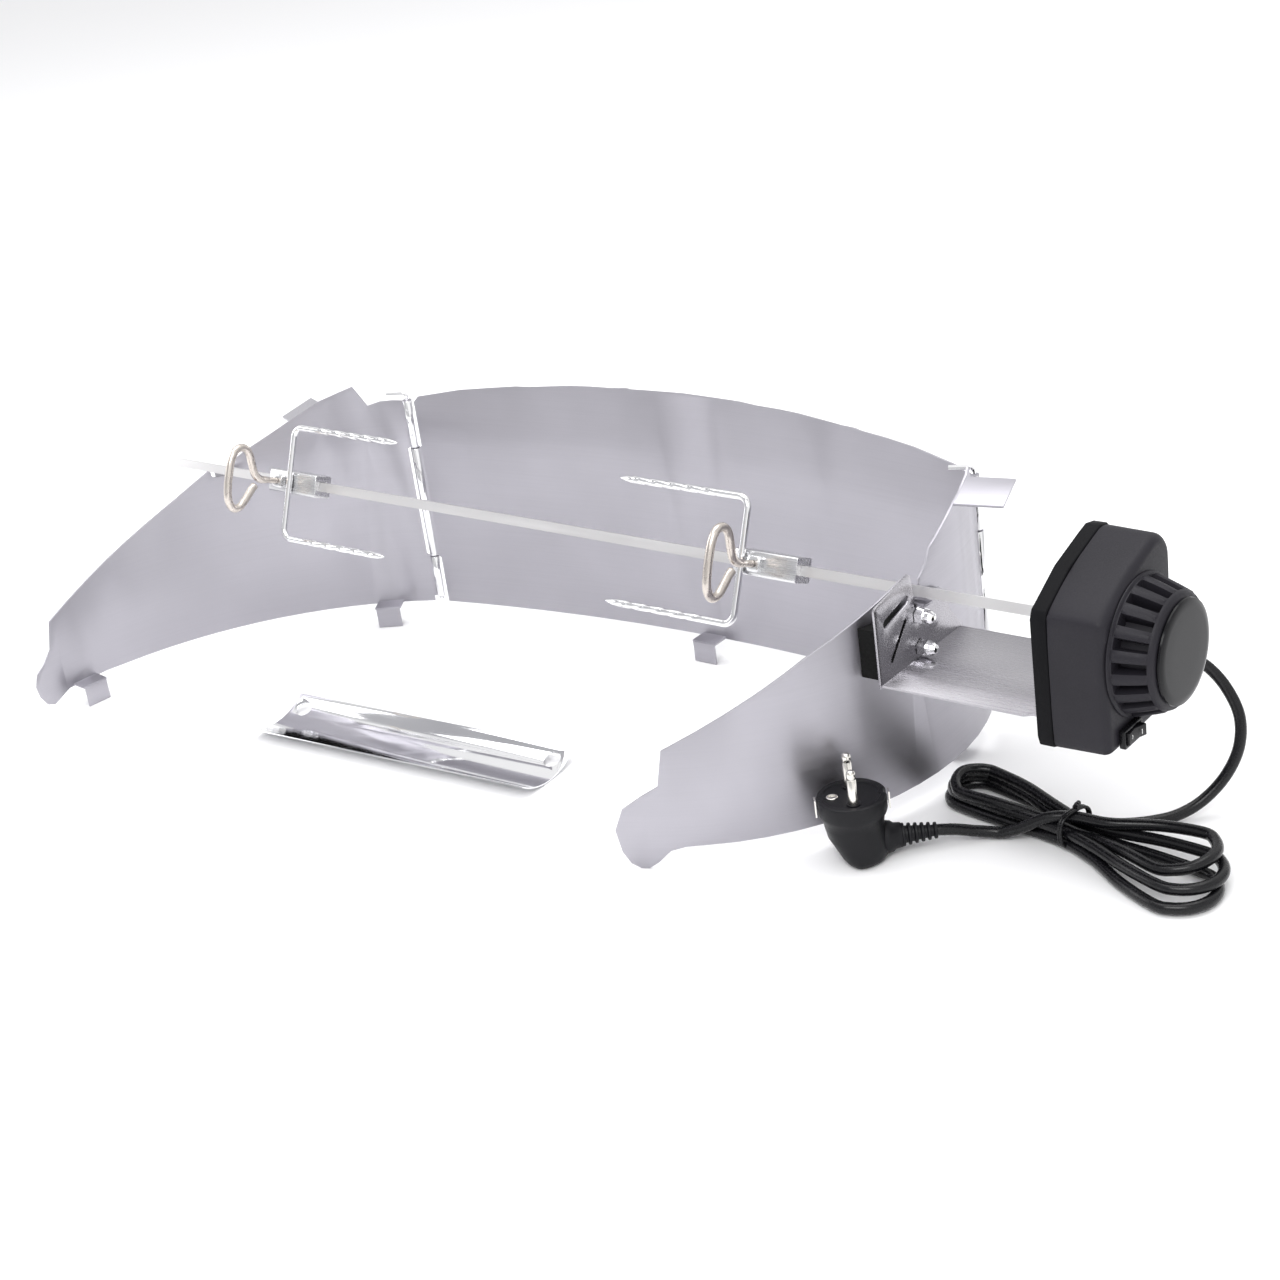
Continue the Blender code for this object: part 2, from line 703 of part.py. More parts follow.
FORKS = (
    ("left", LEFT_FORK_X, 1.0, LEFT_HUB_MID, LEFT_SCREW_X),
    ("right", RIGHT_FORK_X, -1.0, RIGHT_HUB_MID, RIGHT_SCREW_X),
)
for side, bar_x, tine_dir, hub_mid, screw_x in FORKS:
    place = AXIS + ALONG * hub_mid
    piece(side + "_fork_hub", build_hub(hub_mid, screw_x), ZINC, place)
    piece(side + "_fork_tines", build_fork(bar_x, tine_dir), BRIGHT_CHROME, place, 40)
    piece(side + "_thumbscrew", build_thumbscrew(screw_x), SATIN_NICKEL, AXIS + ALONG * screw_x, 50)


# ------------------------------------------------------------------- bracket
def build_bracket():
    plate = [
        (SHELF_FRONT, SHELF_Z), (SHELF_FRONT, 0.1262), (SHELF_FRONT + 0.0015, 0.1277),
        (0.0118, 0.1330), (0.0138, 0.1320), (0.0150, 0.1240), (0.0150, 0.1133),
        (0.0282, 0.1133), (0.0300, 0.1175), (0.0400, 0.1145), (0.0465, 0.1080),
        (0.0465, 0.1000), (SHELF_BACK, 0.0864), (SHELF_BACK, SHELF_Z),
    ]
    wide = slot_outline((-0.0113, 0.1160), (0.0085, 0.1205), 0.0024)
    narrow = slot_outline((-0.0085, 0.0946), (0.0060, 0.1100), 0.0013)
    holes = [wide, narrow]
    holes += [circle_outline(BOLT_Y, z, 0.0022, 12) for z in BOLT_Z]
    upright = prism(plate, lambda a, b, c: Vector((c, a, b)), PLATE_X, PLATE_X + SHEET, holes)
    shelf = [
        (PLATE_X + 0.0006, SHELF_FRONT + 0.0010), (0.3250, SHELF_FRONT + 0.0010),
        (0.3290, TONGUE_FRONT), (SHELF_END, TONGUE_FRONT), (SHELF_END, TONGUE_BACK),
        (0.3290, TONGUE_BACK), (0.3250, SHELF_BACK - 0.0010), (PLATE_X + 0.0006, SHELF_BACK - 0.0010),
    ]
    flat = prism(shelf, lambda a, b, c: Vector((a, b, c)), SHELF_Z + 0.0003, SHELF_Z + 0.0003 + SHEET)
    return join(upright, flat)


def build_spacer():
    """A dark pad that fills the wedge between the curved panel and the flat plate."""
    ys = [-0.0160 + 0.0070 * i for i in range(7)]
    inner = []
    for y in ys:
        reach = RIGHT_ARC[1] + SHEET / 2.0 + GAP
        inner.append((RIGHT_ARC[0].x + math.sqrt(reach ** 2 - (y - RIGHT_ARC[0].y) ** 2), y))
    outline = inner + [(PLATE_X - GAP, ys[-1]), (PLATE_X - GAP, ys[0])]
    pad = prism(outline, lambda a, b, c: Vector((a, b, c)), 0.0862, 0.1130)
    drills = []
    for z in BOLT_Z:
        start = Vector((PLATE_X - 0.014, BOLT_Y, z))
        drills.append(turned(start, ALONG, [(0, 0.0022), (0.018, 0.0022)], 12))
    return cut(pad, *drills)


def build_bolt(z):
    base = Vector((PLATE_X - 0.0100, BOLT_Y, z))
    profile = [(0.0, 0.0028), (0.0010, 0.0042), (0.0022, 0.0042), (0.0022, BOLT_R), (0.0172, BOLT_R)]
    return turned(base, ALONG, profile, 12)


def build_acorn_nut(z):
    base = Vector((PLATE_X + SHEET + GAP, BOLT_Y, z))
    shape = [(0.0, 0.0046), (0.0045, 0.0046)]
    hexagon = turned(base, ALONG, shape, 6)
    dome = [(0.0030, 0.0037), (0.0052, 0.0037), (0.0075, 0.0033), (0.0092, 0.0023), (0.0100, 0.0010)]
    cap = turned(base, ALONG, dome, 12, 0.1)
    bore = turned(base - ALONG * 0.002, ALONG, [(0, BOLT_R + 0.00007), (0.0085, BOLT_R + 0.00007)], 12)
    return cut(join(hexagon, cap), bore)


piece("motor_bracket", build_bracket(), DARK_STEEL)
piece("bracket_spacer", build_spacer(), PAD_BLACK)
for label, z in zip(("upper", "lower"), BOLT_Z):
    piece("bracket_bolt_" + label, build_bolt(z), ZINC, smooth_deg=40)
    piece("acorn_nut_" + label, build_acorn_nut(z), BRIGHT_CHROME, smooth_deg=40)


# --------------------------------------------------------------------- motor
MOTOR_OUTLINE = [(-0.0246, 0.0790), (-0.0246, 0.1395), (-0.0225, 0.1440), (0.0010, 0.1565),
                 (0.0260, 0.1640), (0.0320, 0.1655), (0.0390, 0.1640), (0.0440, 0.1590),
                 (0.0455, 0.1530), (0.0455, 0.0810), (0.0440, 0.0765), (0.0400, 0.0735),
                 (-0.0190, 0.0725), (-0.0230, 0.0740)]


def grow(outline, amount):
    """Move every point of an outline away from the motor's middle by about amount."""
    out = []
    for y, z in outline:
        away = Vector((y - MOTOR_MID_Y, z - MOTOR_MID_Z))
        away.normalize()
        out.append((y + away.x * amount, z + away.y * amount))
    return out


def in_yz(a, b, c):
    return Vector((c, a, b))


SOCKET_R = 0.0062
SHELF_SLOT = [(TONGUE_FRONT - 0.0004, SHELF_Z - 0.0001), (TONGUE_BACK + 0.0004, SHELF_Z - 0.0001),
              (TONGUE_BACK + 0.0004, SHELF_Z + 0.0019), (TONGUE_FRONT - 0.0004, SHELF_Z + 0.0019)]
SOCKET_HOLE = circle_outline(SPIT_Y, SPIT_Z, SOCKET_R + 0.0006, 20)


def build_back_plate():
    return prism(grow(MOTOR_OUTLINE, 0.0006), in_yz, BACK_PLATE_X, HOUSING_X - GAP,
                 [SHELF_SLOT, SOCKET_HOLE])


def build_housing():
    wall = prism(MOTOR_OUTLINE, in_yz, HOUSING_X, FACE_X - GAP)
    hollow = prism(grow(MOTOR_OUTLINE, -WALL), in_yz, HOUSING_X - 0.001, FACE_X - WALL)
    mouth = turned(Vector((FACE_X - 0.006, MOTOR_MID_Y, MOTOR_MID_Z)), ALONG,
                   [(0, DOME_R - 0.006), (0.010, DOME_R - 0.006)], 24)
    gland_hole = turned(Vector((0.3620, 0.0400, 0.0830)), Vector((0, 1, 0)),
                        [(0, 0.0042), (0.010, 0.0042)], 12)
    switch_hole = cuboid(in_yz, SWITCH_Y - 0.0060, SWITCH_Y + 0.0060, SWITCH_Z - 0.0026,
                         SWITCH_Z + 0.0026, FACE_X - 0.006, FACE_X + 0.003)
    return cut(wall, hollow, mouth, gland_hole, switch_hole)


def build_dome():
    base = Vector((FACE_X, MOTOR_MID_Y, MOTOR_MID_Z))
    depth = DOME_END_X - FACE_X
    outer = [(0.0, DOME_R), (0.0030, DOME_R), (depth - 0.0030, CAP_R + 0.0022), (depth, CAP_R)]
    inner = [(depth, CAP_R - 0.0040), (depth - 0.0050, CAP_R - 0.0030), (0.0, DOME_R - 0.0050)]
    shell = bored(base, ALONG, outer + inner, 48)
    vents = []
    for i in range(18):
        a = 2.0 * math.pi * (i + 0.5) / 18
        radial = Vector((0.0, math.cos(a), math.sin(a)))
        tangent = ALONG.cross(radial)

        def place(p, q, r, radial=radial, tangent=tangent):
            return base + ALONG * p + tangent * q + radial * r

        vents.append(cuboid(place, 0.0040, depth - 0.0048, -0.0016, 0.0016, CAP_R - 0.0060, DOME_R + 0.004))
    return cut(shell, *vents)


def build_end_cap():
    base = Vector((DOME_END_X + GAP, MOTOR_MID_Y, MOTOR_MID_Z))
    depth = CAP_END_X - DOME_END_X - GAP
    return turned(base, ALONG, [(0, CAP_R - 0.0004), (depth - 0.001, CAP_R - 0.0008),
                                (depth, CAP_R - 0.0020)], 48)


def gear_outline(teeth, module, shift):
    """Outline of a straight-toothed gear; shift turns it by part of a tooth."""
    pitch_r = teeth * module / 2.0
    out = []
    for i in range(teeth):
        mid = 2.0 * math.pi * (i + shift) / teeth
        tooth = 2.0 * math.pi / teeth
        for part, radius in ((-0.30, pitch_r - 1.15 * module), (-0.13, pitch_r + 0.80 * module),
                             (0.13, pitch_r + 0.80 * module), (0.30, pitch_r - 1.15 * module)):
            a = mid + tooth * part
            out.append((radius * math.cos(a), radius * math.sin(a)))
    return out


GEAR_X = 0.3475
GEAR_W = 0.0060
GEAR_GAP = (GEAR_TEETH + PINION_TEETH) * GEAR_MODULE / 2.0 + 0.0001
PINION_AXIS = Vector((0.0, SPIT_Y + GEAR_GAP * math.cos(PINION_ANGLE),
                      SPIT_Z + GEAR_GAP * math.sin(PINION_ANGLE)))


def turn_yz(points, angle, centre):
    c = math.cos(angle)
    s = math.sin(angle)
    return [(centre.y + a * c - b * s, centre.z + a * s + b * c) for a, b in points]


def build_drive_gear():
    """Output gear with the sleeve that takes the spit's square end."""
    teeth = turn_yz(gear_outline(GEAR_TEETH, GEAR_MODULE, 0.0), PINION_ANGLE, AXIS)
    wheel = prism(teeth, in_yz, GEAR_X, GEAR_X + GEAR_W)
    sleeve = turned(AXIS + ALONG * 0.3330, ALONG, [(0, SOCKET_R - 0.0006), (0.001, SOCKET_R),
                                                   (0.0215, SOCKET_R)], 20)
    hole = prism(square_hole(HALF_SPIT + RUN_FIT), lambda a, b, c: on_spit(c, a, b), 0.3300, 0.3505)
    return cut(join(wheel, sleeve), hole)


def build_pinion():
    teeth = turn_yz(gear_outline(PINION_TEETH, GEAR_MODULE, 0.5), PINION_ANGLE + math.pi, PINION_AXIS)
    wheel = prism(teeth, in_yz, GEAR_X - 0.0004, GEAR_X + GEAR_W + 0.0004)
    shaft = turned(PINION_AXIS + ALONG * (GEAR_X - 0.0022), ALONG, [(0, 0.0010), (0.0120, 0.0010)], 10)
    return join(wheel, shaft)


def build_motor_can():
    start = PINION_AXIS + ALONG * (GEAR_X + GEAR_W + 0.0018)
    body = turned(start, ALONG, [(0, 0.0030), (0.0004, 0.0103), (0.0016, 0.0113), (0.0190, 0.0113),
                                 (0.0200, 0.0101)], 24)
    bore = turned(start - ALONG * 0.001, ALONG, [(0, 0.00107), (0.0060, 0.00107)], 10)
    return cut(body, bore)


def build_gland():
    base = Vector((0.3620, 0.0410, 0.0830))
    return turned(base, Vector((0, 1, 0)), [(0, 0.0040), (0.0049, 0.0040), (0.0049, 0.0062),
                                            (0.0075, 0.0062), (0.0165, 0.0042)], 16)


def build_housing_screw(y, z):
    base = Vector((BACK_PLATE_X - 0.0018, y, z))
    return turned(base, ALONG, [(0, 0.0022), (0.0004, 0.0030), (0.0015, 0.0030)], 12)


motor_origin = Vector((FACE_X, MOTOR_MID_Y, MOTOR_MID_Z))
piece("motor_back_plate", build_back_plate(), PLATE_BLACK, motor_origin)
piece("motor_housing", build_housing(), HOUSING_BLACK, motor_origin, 20)
piece("vent_dome", build_dome(), HOUSING_BLACK, motor_origin, 20)
piece("end_cap", build_end_cap(), GLOSS_BLACK, motor_origin, 30)
piece("drive_gear", build_drive_gear(), NYLON, AXIS)
piece("motor_pinion", build_pinion(), BRASS, PINION_AXIS)
piece("motor_can", build_motor_can(), ZINC, PINION_AXIS, 30)
piece("cord_gland", build_gland(), GLOSS_BLACK, smooth_deg=40)
SCREW_SPOTS = ((-0.0185, 0.1330), (0.0395, 0.1520), (-0.0150, 0.0785), (0.0390, 0.0790))
for number, (y, z) in enumerate(SCREW_SPOTS, 1):
    piece("housing_screw_%d" % number, build_housing_screw(y, z), ZINC, smooth_deg=40)


# -------------------------------------------------------------------- switch
def build_switch_frame():
    outline = rounded_box_outline(SWITCH_Y - SWITCH_HALF_Y, SWITCH_Y + SWITCH_HALF_Y,
                                  SWITCH_Z - SWITCH_HALF_Z, SWITCH_Z + SWITCH_HALF_Z, 0.0010, 2)
    window = [(SWITCH_Y - 0.0075, SWITCH_Z - 0.0034), (SWITCH_Y + 0.0075, SWITCH_Z - 0.0034),
              (SWITCH_Y + 0.0075, SWITCH_Z + 0.0034), (SWITCH_Y - 0.0075, SWITCH_Z + 0.0034)]
    return prism(outline, in_yz, FACE_X, FACE_X + 0.0030, [window])


def build_rocker():
    """A shallow V-faced key that tilts about a vertical axis."""
    x0 = FACE_X + 0.0014
    outline = [(x0, -0.0068), (x0 + 0.0030, -0.0068), (x0 + 0.0022, 0.0), (x0 + 0.0048, 0.0068), (x0, 0.0068)]
    return prism(outline, lambda a, b, c: Vector((a, SWITCH_Y + b, c)), SWITCH_Z - 0.0031, SWITCH_Z + 0.0031)


SWITCH_PIVOT = Vector((FACE_X + 0.0022, SWITCH_Y, SWITCH_Z))
piece("switch_frame", build_switch_frame(), SWITCH_BLACK)
piece("switch_rocker", build_rocker(), SWITCH_BLACK, SWITCH_PIVOT)


# ------------------------------------------------------------------ drip pan
def pan_place(a, b, c):
    turn = Matrix.Rotation(PAN_TURN, 3, "Z")
    return PAN_MID + turn @ Vector((a, b, c))


def build_pan():
    half = PAN_WIDTH / 2.0
    radius = (half * half + PAN_SAG * PAN_SAG) / (2.0 * PAN_SAG)
    reach = math.asin(half / radius)
    steps = 10
    section = []
    for k in range(steps + 1):
        a = -reach + 2.0 * reach * k / steps
        section.append((radius * math.sin(a), radius - radius * math.cos(a)))
    for k in range(steps, -1, -1):
        a = -reach + 2.0 * reach * k / steps
        inner = radius - PAN_SHEET
        section.append((inner * math.sin(a), radius - inner * math.cos(a)))
    trough = prism(section, lambda a, b, c: pan_place(c, a, b), -PAN_LEN / 2.0, PAN_LEN / 2.0)
    drills = []
    for side in (-1.0, 1.0):
        spot = pan_place(side * (PAN_LEN / 2.0 - 0.0095), half - 0.0095, -0.004)
        drills.append(turned(spot, Vector((0, 0, 1)), [(0, PAN_HOLE_R), (0.02, PAN_HOLE_R)], 16))
    return cut(trough, *drills)


piece("drip_pan", build_pan(), POLISHED, PAN_MID, 25)

# ---------------------------------------------------------------------- cord
# Route of the lead from the gland down to the hank, then from the hank to the plug.
MOTOR_RUN = [(0.3620, 0.0578, 0.0830), (0.3622, 0.0640, 0.0828), (0.3645, 0.0745, 0.0805),
             (0.3705, 0.0825, 0.0735), (0.3790, 0.0855, 0.0620), (0.3865, 0.0840, 0.0480),
             (0.3880, 0.0790, 0.0330), (0.3835, 0.0715, 0.0190), (0.3755, 0.0615, 0.0085),
             (0.3670, 0.0505, 0.0040), (0.3570, 0.0400, 0.0034), (0.3460, 0.0325, 0.0034),
             (0.3360, 0.0282, 0.0034)]
PLUG_RUN = [(0.2997, 0.0011, 0.0034), (0.2915, -0.0020, 0.0038), (0.2840, -0.0072, 0.0054),
            (0.2777, -0.0128, 0.0076), (0.2717, -0.0182, 0.0089)]
HANK_ENDS = (Vector((0.2640, 0.0280)), Vector((0.3990, -0.0060)))
HANK_WIDTHS = ((0.0, 0.0160), (0.15, 0.0158), (0.32, 0.0125), (0.50, 0.0092), (0.66, 0.0165),
               (0.85, 0.0270), (1.0, 0.0275))
HANK_TOP = 0.0124
TIE_AT = 0.50


def build_cord(name, route):
    points = smooth_path([Vector(p) for p in route], 0.0075)
    curve = bpy.data.curves.new(name, "CURVE")
    curve.dimensions = "3D"
    curve.bevel_depth = CORD_R
    curve.bevel_resolution = 2
    curve.use_fill_caps = True
    spline = curve.splines.new("POLY")
    spline.points.add(len(points) - 1)
    for dot, p in zip(spline.points, points):
        dot.co = (*p, 1.0)
    curve.materials.append(CORD_BLACK)
    obj = bpy.data.objects.new(name, curve)
    obj.location = -ORIGIN
    bpy.context.collection.objects.link(obj)


def hank_half(t):
    for (t0, w0), (t1, w1) in zip(HANK_WIDTHS, HANK_WIDTHS[1:]):
        if t <= t1:
            f = (t - t0) / (t1 - t0)
            f = f * f * (3.0 - 2.0 * f)
            return w0 + (w1 - w0) * f
    return HANK_WIDTHS[-1][1]


HANK_ALONG = (HANK_ENDS[1] - HANK_ENDS[0]).normalized()
HANK_ACROSS = Vector((-HANK_ALONG.y, HANK_ALONG.x))


def stub(p, q, half):
    """A short bar on the ground from p to q, as an outline."""
    d = (Vector(q) - Vector(p)).normalized()
    n = Vector((-d.y, d.x)) * half
    p = Vector(p)
    q = Vector(q)
    return [tuple(p - n), tuple(q - n), tuple(q + n), tuple(p + n)]


def build_hank():
    a, b = HANK_ENDS
    outline = []
    for k in range(17):
        t = k / 16.0
        outline.append(a.lerp(b, t) - HANK_ACROSS * hank_half(t))
    for k in range(1, 10):
        t = -math.pi / 2.0 + math.pi * k / 10.0
        r = hank_half(1.0)
        outline.append(b + HANK_ALONG * (r * math.cos(t)) + HANK_ACROSS * (r * math.sin(t)))
    for k in range(16, -1, -1):
        t = k / 16.0
        outline.append(a.lerp(b, t) + HANK_ACROSS * hank_half(t))
    for k in range(1, 10):
        t = math.pi / 2.0 + math.pi * k / 10.0
        r = hank_half(0.0)
        outline.append(a + HANK_ALONG * (r * math.cos(t)) + HANK_ACROSS * (r * math.sin(t)))
    flat = [tuple(p) for p in outline]
    body = prism(flat, lambda p, q, r: Vector((p, q, r)), 0.0003, HANK_TOP)
    entry = stub((0.3180, 0.0190), (0.3357, 0.0281), CORD_R)
    leave = stub((0.3180, 0.0060), (0.3000, 0.0012), CORD_R)
    parts = [prism(s, lambda p, q, r: Vector((p, q, r)), 0.0008, 0.0066) for s in (entry, leave)]
    return join(body, *parts)


def build_tie():
    """A flat band wrapped once round the waist of the hank."""
    mid = HANK_ENDS[0].lerp(HANK_ENDS[1], TIE_AT)
    half = 0.0100
    outer = rounded_box_outline(-half - 0.0013, half + 0.0013, 0.0, HANK_TOP + 0.0018, 0.0022, 3)
    inner = rounded_box_outline(-half, half, 0.0, HANK_TOP + 0.0006, 0.0016, 3)
    low = [(a, max(b, 0.00005) if b < 0.001 else b) for a, b in inner]

    def place(a, b, c):
        flat = mid + HANK_ACROSS * a + HANK_ALONG * c
        return Vector((flat.x, flat.y, b))

    band = prism(outer, place, -0.0020, 0.0020)
    hollow = prism([(a, b - 0.002 if b < 0.003 else b) for a, b in low], place, -0.0030, 0.0030)
    return cut(band, hollow)


build_cord("cord_from_motor", MOTOR_RUN)
build_cord("cord_to_plug", PLUG_RUN)
piece("cord_hank", build_hank(), CORD_BLACK)
piece("cord_tie", build_tie(), CORD_BLACK)


# ---------------------------------------------------------------------- plug
def build_plug_body():
    shape = [(0.0, PLUG_R - 0.0035), (0.0030, PLUG_R - 0.0008), (0.0200, PLUG_R - 0.0030),
             (0.0255, PLUG_R - 0.0006), (PLUG_FACE_Z - 0.0006, PLUG_R), (PLUG_FACE_Z, PLUG_R - 0.0006)]
    body = turned(PLUG_MID, Vector((0, 0, 1)), shape, 24)
    height = 0.0090
    start = PLUG_MID + PLUG_EXIT * 0.0080 + Vector((0, 0, height))
    neck = turned(start, PLUG_EXIT, [(0, 0.0080), (0.0110, 0.0075), (0.0145, 0.0064)], 12)
    tools = []
    for sign in (-1.0, 1.0):
        spot = PLUG_MID + PIN_LINE * (sign * EARTH_PIN_GAP / 2.0) + Vector((0, 0, PLUG_FACE_Z - 0.006))
        tools.append(turned(spot, Vector((0, 0, 1)), [(0, 0.00247), (0.01, 0.00247)], 12))
    return cut(join(body, neck), *tools)


def build_plug_pin(sign):
    base = PLUG_MID + PIN_LINE * (sign * EARTH_PIN_GAP / 2.0) + Vector((0, 0, PLUG_FACE_Z - 0.0055))
    return turned(base, Vector((0, 0, 1)), [(0, 0.0024), (0.0230, 0.0024), (0.0245, 0.0012)], 12)


def build_earth_clip(sign):
    """A flat spring strip down the side of the plug."""
    across = PIN_LINE.cross(Vector((0, 0, 1)))

    def place(a, b, c):
        return PLUG_MID + PIN_LINE * a + across * (sign * b) + Vector((0, 0, c))

    return cuboid(place, -0.0022, 0.0022, PLUG_R + 0.0003, PLUG_R + 0.0010, 0.0262, PLUG_FACE_Z - 0.0004)


def build_strain_relief():
    start = PLUG_MID + PLUG_EXIT * 0.0228 + Vector((0, 0, 0.0090))
    profile = []
    for k in range(6):
        d = k * 0.0033
        r = 0.0060 - 0.00035 * k
        profile += [(d, r), (d + 0.0018, r), (d + 0.0018, r - 0.0012), (d + 0.0033, r - 0.0012)]
    return turned(start, PLUG_EXIT, profile, 12)


PIN_LINE = Vector((0.52, -0.62, 0.0)).normalized()
piece("plug_body", build_plug_body(), PLUG_BLACK, PLUG_MID, 35)
piece("plug_pin_front", build_plug_pin(1.0), BRASS, smooth_deg=40)
piece("plug_pin_rear", build_plug_pin(-1.0), BRASS, smooth_deg=40)
piece("plug_strain_relief", build_strain_relief(), PLUG_BLACK, smooth_deg=30)
piece("earth_clip_front", build_earth_clip(1.0), BRASS)
piece("earth_clip_rear", build_earth_clip(-1.0), BRASS)
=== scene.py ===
"""Looks of the rotisserie spit roaster: materials, fine shapes, cord, light and camera."""

import math

import bmesh
import bpy
from mathutils import Matrix, Vector


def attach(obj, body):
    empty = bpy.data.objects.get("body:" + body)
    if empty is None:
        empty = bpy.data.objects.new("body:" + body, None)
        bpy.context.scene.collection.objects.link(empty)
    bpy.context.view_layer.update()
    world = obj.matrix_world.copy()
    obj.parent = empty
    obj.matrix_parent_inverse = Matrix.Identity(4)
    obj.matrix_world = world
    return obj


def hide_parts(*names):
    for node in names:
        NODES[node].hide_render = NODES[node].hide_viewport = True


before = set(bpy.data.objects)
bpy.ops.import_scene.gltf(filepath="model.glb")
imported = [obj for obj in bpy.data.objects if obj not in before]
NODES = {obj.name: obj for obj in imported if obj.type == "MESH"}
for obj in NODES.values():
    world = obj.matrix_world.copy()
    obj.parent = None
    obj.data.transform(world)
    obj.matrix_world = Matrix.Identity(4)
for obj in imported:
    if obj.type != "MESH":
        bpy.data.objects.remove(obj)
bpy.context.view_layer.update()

# The part is laid out in its own frame; ORIGIN is the layout point at the world origin.
ORIGIN = Vector((0.0383, 0.0003, 0.0))
ALONG = Vector((1.0, 0.0, 0.0))
UPWARD = Vector((0.0, 0.0, 1.0))

SPIT_TURN = math.radians(23.5)
SPIT_AXIS = Vector((0.0, 0.0214, 0.1200)) - ORIGIN
SPIT_UP = Vector((0.0, math.sin(SPIT_TURN), math.cos(SPIT_TURN)))
SPIT_OUT = Vector((0.0, -math.cos(SPIT_TURN), math.sin(SPIT_TURN)))

CORD_R = 0.0030
PLUG_MID = Vector((0.2385, -0.0460, 0.0)) - ORIGIN
PLUG_EXIT = Vector((0.62, 0.52, 0.0)).normalized()
PIN_LINE = Vector((0.52, -0.62, 0.0)).normalized()


def layout(x, y, z):
    """A point of the part's own layout, in world metres."""
    return Vector((x, y, z)) - ORIGIN


def link(name, data):
    """A new object in the scene."""
    obj = bpy.data.objects.new(name, data)
    bpy.context.scene.collection.objects.link(obj)
    return obj


# -------------------------------------------------------------------- camera
AZIMUTH = math.radians(41.2)
ELEVATION = math.radians(24.3)
ROLL = math.radians(-8.2)


def add_camera():
    """The camera, seeing the part from the front right and a little above."""
    camera = bpy.data.cameras.new("camera")
    camera.sensor_width = 36.0
    camera.lens = 67.22
    camera.clip_end = 30.0
    obj = link("camera", camera)
    back = Vector((
        math.sin(AZIMUTH) * math.cos(ELEVATION),
        -math.cos(AZIMUTH) * math.cos(ELEVATION),
        math.sin(ELEVATION),
    ))
    right = (-back).cross(UPWARD).normalized()
    up = right.cross(-back)
    side = right * math.cos(ROLL) + up * math.sin(ROLL)
    top = up * math.cos(ROLL) - right * math.sin(ROLL)
    turn = Matrix((side, top, back)).transposed().to_4x4()
    obj.matrix_world = Matrix.Translation((0.8237, -0.9008, 0.6120)) @ turn
    bpy.context.scene.camera = obj


add_camera()

# ---------------------------------------------------------------------- cord
MOTOR_RUN = [
    (0.3620, 0.0578, 0.0830), (0.3622, 0.0640, 0.0828), (0.3645, 0.0745, 0.0805),
    (0.3705, 0.0825, 0.0735), (0.3790, 0.0855, 0.0620), (0.3865, 0.0840, 0.0480),
    (0.3880, 0.0790, 0.0330), (0.3835, 0.0715, 0.0190), (0.3755, 0.0615, 0.0085),
    (0.3670, 0.0505, 0.0040), (0.3570, 0.0400, 0.0034), (0.3460, 0.0325, 0.0034),
    (0.3360, 0.0282, 0.0034),
]
PLUG_RUN = [
    (0.2915, -0.0020, 0.0038), (0.2840, -0.0072, 0.0054), (0.2777, -0.0128, 0.0076),
    (0.2717, -0.0182, 0.0089), (0.2686, -0.0208, 0.0090),
]
HANK_FROM = Vector((0.2640, 0.0280, 0.0))
HANK_TO = Vector((0.3990, -0.0060, 0.0))
HANK_ALONG = (HANK_TO - HANK_FROM).normalized()
HANK_ACROSS = UPWARD.cross(HANK_ALONG)
WAIST = 0.0696
# Each turn of the hank: (fold centre, radius, side shift, height) at its two ends.
LEFT_FOLDS = [
    (0.0000, 0.0130, 0.0000, 0.0034),
    (0.0015, 0.0130, 0.0012, 0.0094),
    (0.0055, 0.0128, -0.0008, 0.0154),
]
RIGHT_FOLDS = [
    (0.1400, 0.0185, -0.0050, 0.0034),
    (0.1370, 0.0188, 0.0025, 0.0092),
    (0.1285, 0.0180, 0.0095, 0.0150),
]
# Where each pass crosses the waist: (along, side shift, height), out to the right and back.
OUTWARD = [(WAIST, -0.0064, 0.0034), (WAIST, -0.0064, 0.0094), (WAIST, 0.0, 0.0064)]
RETURN = [(WAIST, 0.0064, 0.0034), (WAIST, 0.0064, 0.0094), (WAIST, 0.0, 0.0152)]
# How the cord comes into the hank and leaves it: (along, side shift, height).
HANK_ENTRY = [(0.0560, 0.0142, 0.0034), (0.0400, 0.0134, 0.0034), (0.0200, 0.0131, 0.0034)]
HANK_EXIT = [(0.0580, -0.0075, 0.0138), (0.0475, -0.0146, 0.0078), (0.0385, -0.0192, 0.0038)]
# Shares of the way at which a pass is given points: before and after the waist.
FROM_LEFT = (0.33, 0.70)
FROM_WAIST = (0.30, 0.65)
FROM_RIGHT = (0.35, 0.70)


def in_hank(s, v, z):
    """A point s along the hank from its left fold, v across it and z high."""
    return HANK_FROM + HANK_ALONG * s + HANK_ACROSS * v + UPWARD * z - ORIGIN


def fold(centre, radius, shift, height, first_deg, z_in, z_out):
    """Points round one end of the hank, easing from the height before to the one after."""
    points = []
    for k in range(7):
        a = math.radians(first_deg + 30.0 * k)
        ease = abs(k - 3) / 3.0
        other = z_in if k < 3 else z_out
        z = height + (other - height) * ease * 0.35
        points.append(in_hank(centre + radius * math.cos(a), shift + radius * math.sin(a), z))
    return points


def fold_mouth(folded, sign):
    """Where a fold opens on its near (-1) or far (+1) side: along, across, high."""
    centre, radius, shift, height = folded
    return centre, shift + sign * radius, height


